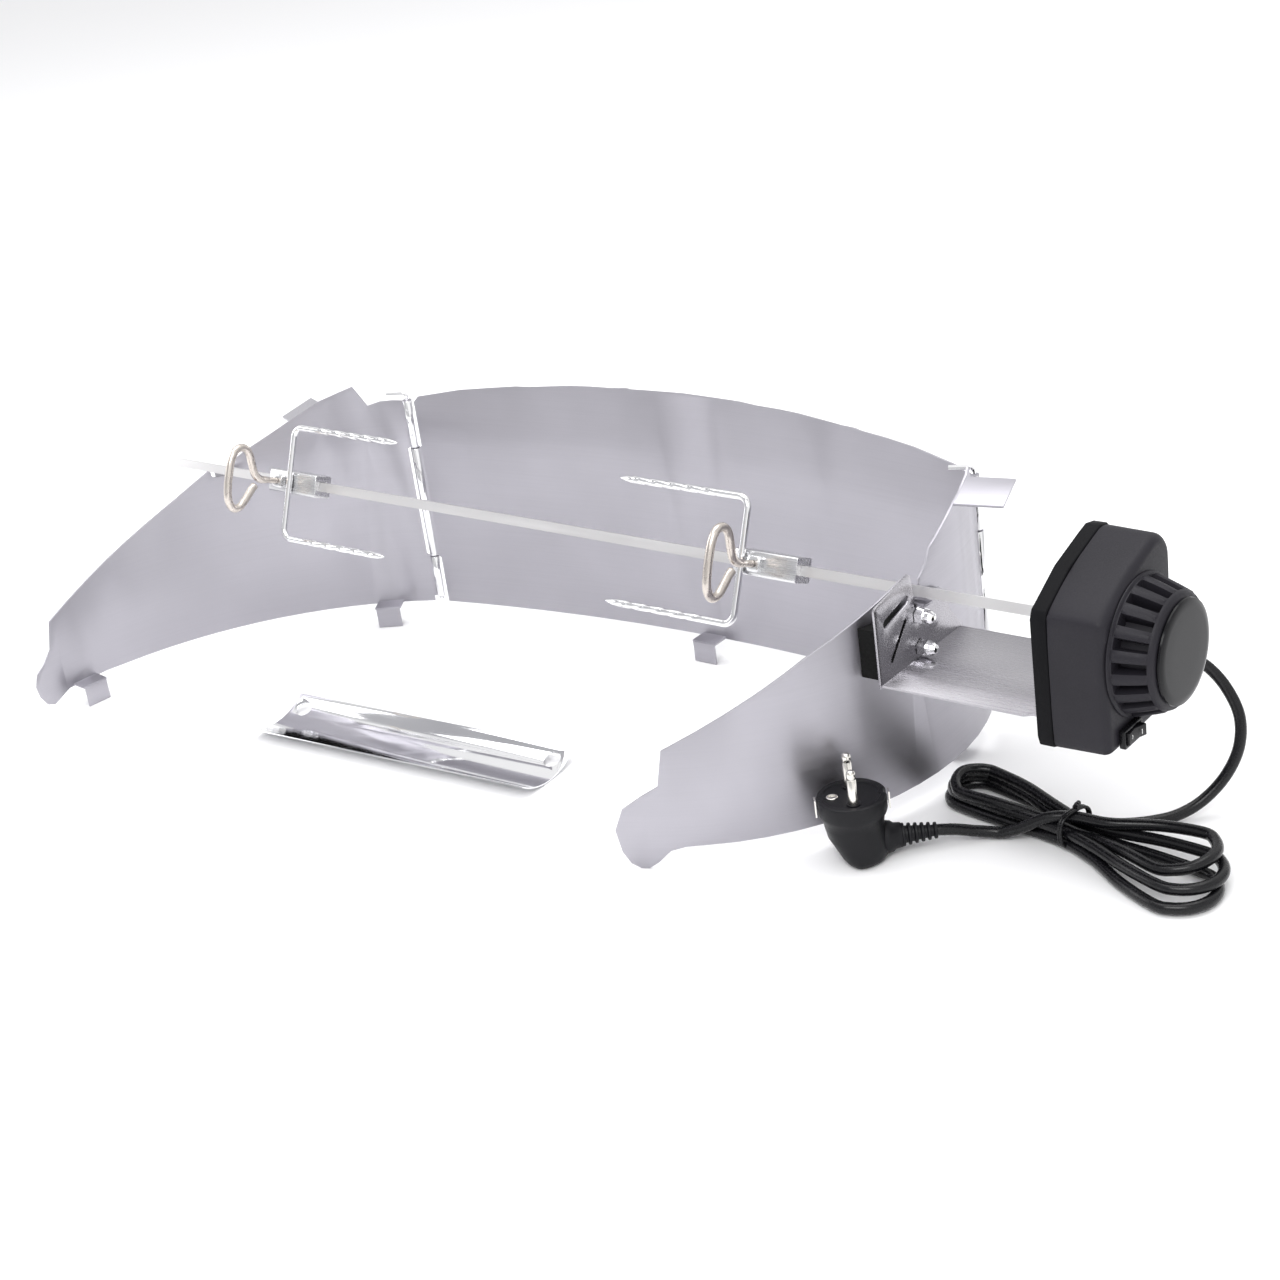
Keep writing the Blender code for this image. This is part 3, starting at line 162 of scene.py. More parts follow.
def hank_pass(begin, end, shares):
    """Points on the way between two (along, across, high) places, eased across the hank."""
    points = []
    for t in shares:
        blend = t * t * (3.0 - 2.0 * t)
        points.append(in_hank(
            begin[0] + (end[0] - begin[0]) * t,
            begin[1] + (end[1] - begin[1]) * blend,
            begin[2] + (end[2] - begin[2]) * t,
        ))
    return points


def cord_route():
    """The cord's way: down from the motor, three turns of the hank, then up into the plug."""
    points = [layout(*p) for p in MOTOR_RUN]
    points += [in_hank(*p) for p in HANK_ENTRY]
    came_at = HANK_ENTRY[-1][2]
    for turn in range(3):
        out = OUTWARD[turn]
        back = RETURN[turn]
        left = LEFT_FOLDS[turn]
        right = RIGHT_FOLDS[turn]
        points += fold(*left, 90.0, came_at, out[2])
        points += hank_pass(fold_mouth(left, -1.0), out, FROM_LEFT)
        points.append(in_hank(*out))
        points += hank_pass(out, fold_mouth(right, -1.0), FROM_WAIST)
        points += fold(*right, -90.0, out[2], back[2])
        points += hank_pass(fold_mouth(right, 1.0), back, FROM_RIGHT)
        points.append(in_hank(*back))
        if turn < 2:
            points += hank_pass(back, fold_mouth(LEFT_FOLDS[turn + 1], 1.0), FROM_WAIST)
        came_at = back[2]
    points += [in_hank(*p) for p in HANK_EXIT]
    points += [layout(*p) for p in PLUG_RUN]
    return points


def smooth_points(points, steps):
    """A dense smooth line through the given points."""
    dense = []
    for i in range(len(points) - 1):
        p0 = points[max(i - 1, 0)]
        p1 = points[i]
        p2 = points[i + 1]
        p3 = points[min(i + 2, len(points) - 1)]
        for k in range(steps):
            t = k / steps
            dense.append(
                0.5 * (p1 * 2.0 + (p2 - p0) * t + (p0 * 2.0 - p1 * 5.0 + p2 * 4.0 - p3) * t * t
                       + (p1 * 3.0 - p0 - p2 * 3.0 + p3) * t * t * t)
            )
    dense.append(points[-1])
    return dense


ROUTE = cord_route()
CORD_LINE = smooth_points(ROUTE, 6)


# ----------------------------------------------------------------- materials
# How a noise is stretched along x, y and z: a low value draws long streaks.
FLAT_GRAIN = (0.02, 0.02, 3.0)
LONG_GRAIN = (0.03, 3.0, 3.0)
EVEN_GRAIN = (1.0, 1.0, 1.0)


class Nodes:
    """A material under construction, with short calls for the nodes it uses."""

    def __init__(self, name, colour, roughness, metallic, **sockets):
        self.mat = bpy.data.materials.new(name)
        self.mat.use_nodes = True
        self.tree = self.mat.node_tree
        self.shader = self.tree.nodes["Principled BSDF"]
        self.shader.inputs["Base Color"].default_value = (*colour, 1.0)
        self.shader.inputs["Roughness"].default_value = roughness
        self.shader.inputs["Metallic"].default_value = metallic
        for key, value in sockets.items():
            self.shader.inputs[key.replace("_", " ")].default_value = value
        self.coords = self.tree.nodes.new("ShaderNodeTexCoord").outputs["Object"]

    def noise(self, scale, stretch=EVEN_GRAIN, detail=3.0):
        """A noise over the piece, stretched along its axes."""
        mapping = self.tree.nodes.new("ShaderNodeMapping")
        mapping.inputs["Scale"].default_value = stretch
        tex = self.tree.nodes.new("ShaderNodeTexNoise")
        tex.inputs["Scale"].default_value = scale
        tex.inputs["Detail"].default_value = detail
        self.tree.links.new(self.coords, mapping.inputs["Vector"])
        self.tree.links.new(mapping.outputs["Vector"], tex.inputs["Vector"])
        return tex.outputs["Fac"]

    def spread(self, value, low, high):
        """A noise value brought to the range from low to high."""
        node = self.tree.nodes.new("ShaderNodeMapRange")
        node.inputs["From Min"].default_value = 0.3
        node.inputs["From Max"].default_value = 0.7
        node.inputs["To Min"].default_value = low
        node.inputs["To Max"].default_value = high
        self.tree.links.new(value, node.inputs["Value"])
        return node.outputs["Result"]

    def tint(self, value, dark, light):
        """The colour, from dark to light with the value."""
        ramp = self.tree.nodes.new("ShaderNodeValToRGB")
        ramp.color_ramp.elements[0].position = 0.3
        ramp.color_ramp.elements[0].color = (*dark, 1.0)
        ramp.color_ramp.elements[1].position = 0.7
        ramp.color_ramp.elements[1].color = (*light, 1.0)
        self.tree.links.new(value, ramp.inputs["Fac"])
        self.tree.links.new(ramp.outputs["Color"], self.shader.inputs["Base Color"])

    def rough(self, value, low, high):
        self.tree.links.new(self.spread(value, low, high), self.shader.inputs["Roughness"])

    def bump(self, value, strength, distance):
        node = self.tree.nodes.new("ShaderNodeBump")
        node.inputs["Strength"].default_value = strength
        node.inputs["Distance"].default_value = distance
        self.tree.links.new(value, node.inputs["Height"])
        self.tree.links.new(node.outputs["Normal"], self.shader.inputs["Normal"])


def brushed(name, dark, light, rough, grain, stretch, depth, strength=0.10, **sockets):
    """Metal with a fine lengthwise grain that shows in its gloss and relief."""
    made = Nodes(name, light, sum(rough) / 2.0, 1.0, **sockets)
    lines = made.noise(grain, stretch, 4.0)
    cloudy = made.noise(14.0, detail=2.0)
    made.tint(cloudy, dark, light)
    made.rough(lines, *rough)
    made.bump(lines, strength, depth)
    return made.mat


def moulded(name, colour, rough, grain, depth, strength=0.4, **sockets):
    """Moulded plastic or rubber with a fine spark-eroded grain."""
    made = Nodes(name, colour, sum(rough) / 2.0, 0.0, **sockets)
    fine = made.noise(grain)
    made.tint(made.noise(25.0), colour, tuple(c * 1.25 for c in colour))
    made.rough(fine, *rough)
    made.bump(fine, strength, depth)
    return made.mat


MATT = {"Specular_IOR_Level": 0.22}
LOOKS = {
    "satin_steel": brushed("satin_steel", (0.405, 0.395, 0.430), (0.440, 0.430, 0.468), (0.36, 0.48), 700.0,
                           FLAT_GRAIN, 0.00003, 0.08),
    "bracket_steel": brushed("bracket_steel", (0.33, 0.32, 0.345), (0.43, 0.42, 0.445), (0.22, 0.32), 300.0,
                             LONG_GRAIN, 0.00002),
    "spit_steel": brushed("spit_steel", (0.74, 0.73, 0.73), (0.86, 0.85, 0.85), (0.30, 0.42), 420.0,
                          LONG_GRAIN, 0.00002, 0.05),
    "bright_chrome": brushed("bright_chrome", (0.84, 0.84, 0.85), (0.93, 0.93, 0.94), (0.05, 0.11), 160.0,
                             EVEN_GRAIN, 0.00002, 0.06),
    "satin_nickel": brushed("satin_nickel", (0.56, 0.51, 0.47), (0.66, 0.61, 0.56), (0.24, 0.32), 260.0,
                            EVEN_GRAIN, 0.00001, 0.04),
    "zinc_plate": brushed("zinc_plate", (0.66, 0.66, 0.67), (0.80, 0.80, 0.81), (0.20, 0.32), 300.0,
                          LONG_GRAIN, 0.00002, 0.06),
    "polished_pan": brushed("polished_pan", (0.76, 0.76, 0.78), (0.86, 0.86, 0.87), (0.05, 0.11), 60.0,
                            EVEN_GRAIN, 0.00025),
    "housing_black": moulded("housing_black", (0.0135, 0.0125, 0.0165), (0.42, 0.58), 1600.0, 0.00012, 0.5,
                             **MATT),
    "back_plate_black": moulded("back_plate_black", (0.004, 0.004, 0.005), (0.50, 0.66), 1400.0, 0.0001, 0.4,
                                Specular_IOR_Level=0.10),
    "gloss_black": moulded("gloss_black", (0.004, 0.004, 0.005), (0.14, 0.22), 600.0, 0.00002, 0.2,
                           Specular_IOR_Level=0.16),
    "switch_black": moulded("switch_black", (0.005, 0.005, 0.006), (0.22, 0.36), 1500.0, 0.00004, 0.3,
                            **MATT),
    "cord_black": moulded("cord_black", (0.004, 0.004, 0.005), (0.20, 0.32), 700.0, 0.00003, 0.25,
                          Specular_IOR_Level=0.34),
    "plug_black": moulded("plug_black", (0.006, 0.006, 0.0075), (0.34, 0.50), 1500.0, 0.00006, 0.35, **MATT),
    "pad_black": moulded("pad_black", (0.003, 0.003, 0.003), (0.70, 0.90), 900.0, 0.0001, 0.4, **MATT),
    "gear_nylon": moulded("gear_nylon", (0.62, 0.60, 0.54), (0.36, 0.50), 900.0, 0.00003),
    "plated_brass": brushed("plated_brass", (0.66, 0.64, 0.60), (0.80, 0.78, 0.73), (0.16, 0.26), 300.0,
                            EVEN_GRAIN, 0.00002, 0.05),
}
PRINT_WHITE = moulded("switch_mark", (0.62, 0.62, 0.62), (0.45, 0.60), 900.0, 0.00002)

NODE_LOOK = {
    "motor_bracket": "bracket_steel", "bracket_spacer": "pad_black", "spit_rod": "spit_steel",
    "left_fork_hub": "zinc_plate", "right_fork_hub": "zinc_plate", "drip_pan": "polished_pan",
    "motor_back_plate": "back_plate_black", "motor_housing": "housing_black", "vent_dome": "housing_black",
    "end_cap": "gloss_black", "drive_gear": "gear_nylon", "motor_pinion": "plated_brass",
    "motor_can": "zinc_plate", "cord_gland": "cord_black", "switch_frame": "switch_black",
    "switch_rocker": "switch_black", "plug_body": "plug_black", "plug_strain_relief": "plug_black",
    "cord_from_motor": "cord_black", "cord_to_plug": "cord_black", "cord_hank": "cord_black",
    "cord_tie": "cord_black",
}
for side in ("left", "right"):
    NODE_LOOK[side + "_panel"] = "satin_steel"
    NODE_LOOK[side + "_hinge_pin"] = "bright_chrome"
    NODE_LOOK[side + "_fork_tines"] = "bright_chrome"
    NODE_LOOK[side + "_thumbscrew"] = "satin_nickel"
NODE_LOOK["back_panel"] = "satin_steel"
for name in NODES:
    if name.startswith("acorn_nut"):
        NODE_LOOK[name] = "bright_chrome"
    if name.startswith(("bracket_bolt", "housing_screw")):
        NODE_LOOK[name] = "zinc_plate"
    if name.startswith(("plug_pin", "earth_clip")):
        NODE_LOOK[name] = "plated_brass"
for name, obj in NODES.items():
    for index in range(len(obj.material_slots)):
        obj.material_slots[index].material = LOOKS[NODE_LOOK[name]]


# ------------------------------------------------------------- shape helpers
def finished(name, bm, look, body, nodes=(), smooth_deg=40.0):
    """A new visible piece with its finish, riding on a body in place of CAD nodes."""
    bmesh.ops.recalc_face_normals(bm, faces=bm.faces)
    limit = math.radians(smooth_deg)
    for f in bm.faces:
        f.smooth = True
    for e in bm.edges:
        e.smooth = len(e.link_faces) != 2 or e.calc_face_angle(0.0) < limit
    mesh = bpy.data.meshes.new(name)
    bm.to_mesh(mesh)
    bm.free()
    mesh.materials.append(LOOKS[look] if isinstance(look, str) else look)
    obj = link(name, mesh)
    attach(obj, body)
    if nodes:
        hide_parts(*nodes)
    return obj


EASE_STEPS = 2
SHARP_DEG = 35.0


def eased(node, name, width, body):
    """A copy of a CAD node whose sharp edges are rounded over by width."""
    bm = bmesh.new()
    bm.from_mesh(NODES[node].data)
    bmesh.ops.remove_doubles(bm, verts=bm.verts, dist=2e-6)
    bmesh.ops.dissolve_limit(bm, angle_limit=math.radians(1.0), verts=bm.verts, edges=bm.edges)
    limit = math.radians(SHARP_DEG)
    sharp = [e for e in bm.edges if len(e.link_faces) == 2 and e.calc_face_angle(0.0) > limit]
    bmesh.ops.bevel(bm, geom=sharp, offset=width, offset_type="OFFSET", segments=EASE_STEPS, profile=0.5,
                    affect="EDGES", clamp_overlap=True)
    big = [f for f in bm.faces if len(f.verts) > 4]
    bmesh.ops.triangulate(bm, faces=big)
    return finished(name, bm, NODE_LOOK[node], body, (node,), 50.0)


def skin(rings, cap_first=True, cap_last=True):
    """A mesh through a row of rings with the same number of points."""
    bm = bmesh.new()
    rows = [[bm.verts.new(p) for p in row] for row in rings]
    count = len(rows[0])
    for a, b in zip(rows, rows[1:]):
        for i in range(count):
            j = (i + 1) % count
            bm.faces.new((a[i], a[j], b[j], b[i]))
    if cap_first:
        bm.faces.new(list(reversed(rows[0])))
    if cap_last:
        bm.faces.new(rows[-1])
    return bm


def turned_rings(base, axis, profile, sides):
    """Rings about an axis for each (distance along it, radius) of a profile."""
    axis = axis.normalized()
    side = UPWARD if abs(axis.z) < 0.5 else ALONG
    side = (side - axis * side.dot(axis)).normalized()
    other = axis.cross(side)
    rows = []
    for d, r in profile:
        row = []
        for i in range(sides):
            a = 2.0 * math.pi * i / sides
            row.append(base + axis * d + side * (r * math.cos(a)) + other * (r * math.sin(a)))
        rows.append(row)
    return rows


def turned(base, axis, profile, sides):
    """A closed turned solid."""
    return skin(turned_rings(base, axis, profile, sides))


def tube(points, radii, sides, first_side, dent=None):
    """A round bar along points; dent(i, angle) scales its radius at a ring point."""
    rows = []
    side = first_side.copy()
    for i, p in enumerate(points):
        along = (points[min(i + 1, len(points) - 1)] - points[max(i - 1, 0)]).normalized()
        side = (side - along * side.dot(along)).normalized()
        other = along.cross(side)
        row = []
        for k in range(sides):
            a = 2.0 * math.pi * k / sides
            r = radii[i] * (dent(i, a) if dent else 1.0)
            row.append(p + side * (r * math.cos(a)) + other * (r * math.sin(a)))
        rows.append(row)
    return skin(rows)


def build_cord():
    """The whole cord as one bar along its line."""
    bm = tube(CORD_LINE, [CORD_R] * len(CORD_LINE), 20, UPWARD)
    return finished("cord", bm, "cord_black", "screen",
                    ("cord_from_motor", "cord_to_plug", "cord_hank"), 60.0)


cord = build_cord()


def on_spit(x, up, out):
    """A point at x on the spit, with up and out in the spit's own turn."""
    return SPIT_AXIS + ALONG * x + SPIT_UP * up + SPIT_OUT * out


# ------------------------------------------------- sheets, hubs and knuckles
# Pieces copied from the CAD with eased edges: (node, piece, width of the easing, body).
EASED_COPIES = (
    ("back_panel", "back_panel_sheet", 0.00022, "screen"),
    ("left_panel", "left_panel_sheet", 0.00022, "left_wing"),
    ("right_panel", "right_panel_sheet", 0.00022, "right_wing"),
    ("motor_bracket", "motor_bracket_sheet", 0.00030, "right_wing"),
    ("left_fork_hub", "left_hub_block", 0.00045, "left_fork"),
    ("right_fork_hub", "right_hub_block", 0.00045, "right_fork"),
    ("drip_pan", "drip_pan_trough", 0.00018, "pan"),
    ("motor_back_plate", "motor_back_plate_moulding", 0.0008, "right_wing"),
    ("switch_frame", "switch_frame_moulding", 0.0004, "right_wing"),
    ("switch_rocker", "switch_rocker_key", 0.0004, "rocker"),
)
for copied in EASED_COPIES:
    eased(*copied)

HINGES = {"left": Vector((-0.21505, 0.09865, 0.0)), "right": Vector((0.19174, 0.104, 0.0))}
KNUCKLE_R = 0.00285
SLEEVE_R = 0.00306
SLEEVE_EDGE = 0.0002
# Polished sleeves over the hinge knuckles: (low, high) along each hinge line.
KNUCKLES = ((0.0157, 0.0435, "wing"), (0.0445, 0.1180, "screen"), (0.1190, 0.1498, "wing"))
for side, hinge in HINGES.items():
    for number, (low, high, holder) in enumerate(KNUCKLES, 1):
        sleeve_profile = [(low, KNUCKLE_R), (low + SLEEVE_EDGE, SLEEVE_R),
                          (high - SLEEVE_EDGE, SLEEVE_R), (high, KNUCKLE_R)]
        sleeve = skin(turned_rings(hinge, UPWARD, sleeve_profile, 40), False, False)
        rider = side + "_wing" if holder == "wing" else holder
        finished("%s_knuckle_sleeve_%d" % (side, number), sleeve, "bright_chrome", rider, (), 50.0)

# --------------------------------------------------------------------- forks
FORK_WIRE_R = 0.0020
FORK_HALF = 0.0340
FORK_TINE = 0.0865
FORK_OUT = 0.0091
FORK_BEND = 0.0060
FORK_POINT = 0.0085
PRONG_STEPS = 88
BAR_STEPS = 12
DIMPLES_FROM = 0.0200
DIMPLES_STOP = 0.0060
DIMPLE_PITCH = 0.0120
DIMPLE_DEPTH = 0.20
# Each fork: (side, x of its bar, way its prongs point, body).
FORKS = (("left", -0.2025, 1.0, "left_fork"), ("right", 0.1400, -1.0, "right_fork"))


def build_tines(side, bar_x, way, body):
    """A bent wire fork whose prongs are pressed into a row of twisted dimples."""
    start = FORK_TINE - FORK_POINT
    half = [(FORK_TINE, FORK_HALF, 0.0003), (FORK_TINE - 0.0020, FORK_HALF, 0.0009),
            (FORK_TINE - 0.0050, FORK_HALF, 0.0016), (start, FORK_HALF, FORK_WIRE_R)]
    for k in range(1, PRONG_STEPS):
        half.append((start + (FORK_BEND - start) * k / PRONG_STEPS, FORK_HALF, FORK_WIRE_R))
    for deg in range(0, 91, 9):
        a = math.radians(deg)
        half.append((FORK_BEND - FORK_BEND * math.sin(a), FORK_HALF - FORK_BEND + FORK_BEND * math.cos(a),
                     FORK_WIRE_R))
    for k in range(1, BAR_STEPS):
        half.append((0.0, (FORK_HALF - FORK_BEND) * (1.0 - k / BAR_STEPS), FORK_WIRE_R))
    rows = half + [(x, -up, r) for x, up, r in reversed(half[:-1])]
    points = [on_spit(bar_x + way * x, up, FORK_OUT) for x, up, _ in rows]
    radii = [r for _, _, r in rows]

    def dent(i, angle):
        reach = rows[i][0]
        if reach < DIMPLES_FROM or reach > FORK_TINE - DIMPLES_STOP:
            return 1.0
        turn = 2.0 * math.pi * (reach - DIMPLES_FROM) / DIMPLE_PITCH
        return 1.0 - DIMPLE_DEPTH * max(0.0, math.cos(2.0 * angle + turn)) ** 2

    finished(side + "_fork_wire", tube(points, radii, 16, SPIT_UP, dent), "bright_chrome", body,
             (side + "_fork_tines",), 60.0)


for fork in FORKS:
    build_tines(*fork)

SCREWS = (("left", -0.2125), ("right", 0.1485))
STEM_START = 0.0030
STEM_STEP = 0.00025
STEM_POINTS = 68
THREAD_POINTS = 56
# The bent eye of the screw: (out from the spit's axis, up).
SCREW_EYE = [
    (0.0200, 0.0), (0.0245, 0.0003), (0.0290, 0.0030), (0.0322, 0.0090), (0.0355, 0.0155),
    (0.0405, 0.0185), (0.0460, 0.0170), (0.0490, 0.0115), (0.0498, 0.0040), (0.0497, -0.0060),
    (0.0480, -0.0140), (0.0435, -0.0185), (0.0382, -0.0172), (0.0338, -0.0118), (0.0302, -0.0062),
    (0.0278, -0.0036),
]


def build_thumbscrew(side, x):
    """A bent wire screw with a rolled thread on its stem."""
    eye = smooth_points([on_spit(x, up, out) for out, up in SCREW_EYE], 7)
    stem = [on_spit(x, 0.0, STEM_START + STEM_STEP * k) for k in range(STEM_POINTS)]
    points = stem + eye[1:]
    radii = []
    for i in range(len(points)):
        if i < THREAD_POINTS:
            radii.append(0.00178 + 0.00012 * math.cos(math.pi * i / 2.0))
        else:
            radii.append(min(0.0024, 0.0019 + 0.00003 * (i - THREAD_POINTS)))
    radii[0] = 0.0012
    radii[-1] = 0.0014
    radii[-2] = 0.0021
    finished(side + "_screw_wire", tube(points, radii, 16, ALONG), "satin_nickel", side + "_screw",
             (side + "_thumbscrew",), 60.0)


for screw in SCREWS:
    build_thumbscrew(*screw)


def build_square_nut(side, x):
    """A square welded nut on the hub face that takes the thumbscrew."""
    half = 0.0042
    bore = 0.00205
    sides = 16
    angles = [2.0 * math.pi * (k + 0.5) / sides for k in range(sides)]
    rows = []
    for out, grow in ((0.0069, 0.0), (0.0100, 0.0), (0.0104, -0.0005)):
        row = []
        for a in angles:
            reach = (half + grow) / max(abs(math.cos(a)), abs(math.sin(a)), 0.78)
            row.append(on_spit(x + reach * math.cos(a), reach * math.sin(a), out))
        rows.append(row)
    for out in (0.0104, 0.0069):
        rows.append([on_spit(x + bore * math.cos(a), bore * math.sin(a), out) for a in angles])
    finished(side + "_screw_boss", skin(rows, False, False), "zinc_plate", side + "_fork")


for screw in SCREWS:
    build_square_nut(*screw)

# --------------------------------------------------------------------- motor
MOTOR_OUTLINE = [
    (-0.0246, 0.0790), (-0.0246, 0.1395), (-0.0225, 0.1440), (0.0010, 0.1565), (0.0260, 0.1640),
    (0.0320, 0.1655), (0.0390, 0.1640), (0.0440, 0.1590), (0.0455, 0.1530), (0.0455, 0.0810),
    (0.0440, 0.0765), (0.0400, 0.0735), (-0.0190, 0.0725), (-0.0230, 0.0740),
]
MOTOR_MID = (0.0110, 0.1180)
HOUSING_X = 0.3438
FACE_X = 0.3732
DOME_X = 0.3935
CAP_X = 0.3962
DOME_R = 0.0340
CAP_R = 0.0262


def rounded_outline(points, rounds):
    """An outline with its corners cut back again and again until they are round."""
    for _ in range(rounds):
        out = []
        for i, p in enumerate(points):
            q = points[(i + 1) % len(points)]
            for t in (0.25, 0.75):
                out.append((p[0] + (q[0] - p[0]) * t, p[1] + (q[1] - p[1]) * t))
        points = out
    return points


def about_motor(x, radius, angle):
    """A point round the motor's middle line."""
    return layout(x, MOTOR_MID[0] + radius * math.cos(angle), MOTOR_MID[1] + radius * math.sin(angle))


def build_housing():
    """The motor housing: a deep moulded cover with softly rounded front edges."""
    outline = rounded_outline(MOTOR_OUTLINE, 2)
    mid_y, mid_z = MOTOR_MID
    front = FACE_X - 0.0003
    soft = 0.0052
    draft = -0.0004
    stations = [(HOUSING_X, 0.0), (HOUSING_X + 0.0006, 0.0002), (front - soft, draft)]
    for deg in range(10, 91, 10):
        a = math.radians(deg)
        stations.append((front - soft + soft * math.sin(a), draft - soft + soft * math.cos(a)))
    rows = []
    for x, inset in stations:
        row = []
        for y, z in outline:
            k = 1.0 + inset / math.hypot(y - mid_y, z - mid_z)
            row.append(layout(x, mid_y + (y - mid_y) * k, mid_z + (z - mid_z) * k))
        rows.append(row)
    rows.append([about_motor(front, DOME_R - 0.0060, math.atan2(z - mid_z, y - mid_y)) for y, z in outline])
    finished("motor_housing_cover", skin(rows, False, False), "housing_black", "right_wing",
             ("motor_housing",), 45.0)


def build_dome():
    """The vent crown: wide ribs with deep slots between them, narrowing to the cap."""
    ribs = 18
    per_rib = 14
    rib_share = 0.52
    lip = 0.0016
    depth = DOME_X - FACE_X
    stations = [0.0, 0.0006, 0.0014, 0.0019, 0.0023, 0.0050, 0.0090, 0.0130, depth - 0.0034,
                depth - 0.0029, depth - 0.0024, depth - 0.0016, depth - 0.0008, depth]
    rows = []
    for d in stations:
        t = d / depth
        radius = DOME_R + (CAP_R + lip - DOME_R) * t ** 1.25
        if d > depth - 0.0019:
            radius -= lip * ((d - depth + 0.0019) / 0.0019) ** 2
        if d < 0.0007:
            radius += 0.0012
        open_here = 1.0 if 0.0020 <= d <= depth - 0.0032 else 0.0
        row = []
        for k in range(ribs * per_rib):
            a = 2.0 * math.pi * k / (ribs * per_rib)
            part = (k % per_rib) / per_rib
            slot = 1.0 if rib_share < part < 0.98 else 0.0
            crown = 0.0007 * math.sin(math.pi * min(part / rib_share, 1.0)) * open_here
            r = radius + crown - (0.0080 - 0.0035 * t) * slot * open_here
            row.append(about_motor(FACE_X + d, r, a))
        rows.append(row)
    finished("vent_dome_crown", skin(rows, False, True), "housing_black", "right_wing", ("vent_dome",), 38.0)


def build_cap():
    """The glossy disc that closes the crown."""
    base = layout(DOME_X, *MOTOR_MID)
    deep = CAP_X - DOME_X
    profile = [(0.0002, CAP_R - 0.0010), (0.0010, CAP_R - 0.0003), (0.0018, CAP_R - 0.0005),
               (deep - 0.0005, CAP_R - 0.0016), (deep - 0.0001, CAP_R - 0.0030), (deep, CAP_R - 0.0050),
               (deep, 0.0120)]
    finished("end_cap_disc", turned(base, ALONG, profile, 96), "gloss_black", "right_wing",
             ("end_cap",), 50.0)


build_housing()
build_dome()
build_cap()

SWITCH = layout(0.0, -0.0060, 0.0795)


def build_switch_marks():
    """The off and on marks on the rocker's two faces."""
    bm = bmesh.new()
    x_off = FACE_X + 0.00405 - ORIGIN.x
    x_on = FACE_X + 0.00550 - ORIGIN.x
    lift = 0.0001
    y_off = SWITCH.y - 0.0040
    count = 24
    outer = []
    inner = []
    for k in range(count):
        a = 2.0 * math.pi * k / count
        lean = 0.00012 * math.cos(a)
        for ring, radius, share in ((outer, 0.0013, 1.0), (inner, 0.0009, 0.7)):
            ring.append(bm.verts.new((x_off + lean * share - lift, y_off + radius * math.cos(a),
                                      SWITCH.z + radius * math.sin(a))))
    for k in range(count):
        j = (k + 1) % count
        bm.faces.new((outer[k], outer[j], inner[j], inner[k]))
    bar = []
    for y, z in ((0.0033, -0.0013), (0.0037, -0.0013), (0.0037, 0.0013), (0.0033, 0.0013)):
        bar.append(bm.verts.new((x_on + (y - 0.0035) * 0.38 + lift, SWITCH.y + y, SWITCH.z + z)))
    bm.faces.new(bar)
    finished("switch_marks", bm, PRINT_WHITE, "rocker")


build_switch_marks()


RELIEF_LENGTH = 0.0260
RELIEF_START = [(0.3620, 0.0490, 0.0830), (0.3620, 0.0575, 0.0830)]


def build_relief():
    """A tapered ribbed sleeve that keeps the cord from kinking where it leaves the motor."""
    line = smooth_points([layout(*p) for p in RELIEF_START] + ROUTE[1:5], 14)
    keep = []
    run = 0.0
    for a, b in zip(line, line[1:]):
        if run > RELIEF_LENGTH:
            break
        keep.append(a)
        run += (b - a).length
    radii = []
    travelled = 0.0
    for i, p in enumerate(keep):
        if i:
            travelled += (p - keep[i - 1]).length
        taper = 0.0053 - 0.0018 * travelled / RELIEF_LENGTH
        radii.append(taper - (0.00045 if (travelled / 0.0032) % 1.0 > 0.72 else 0.0))
    finished("motor_cord_relief", tube(keep, radii, 24, UPWARD), "cord_black", "right_wing", (), 35.0)


build_relief()


# ---------------------------------------------------------------------- plug
PIN_SPREAD = 0.0095
CORD_HIGH = 0.0090
RIM_FROM = 0.0262
RIM_TO = 0.0358


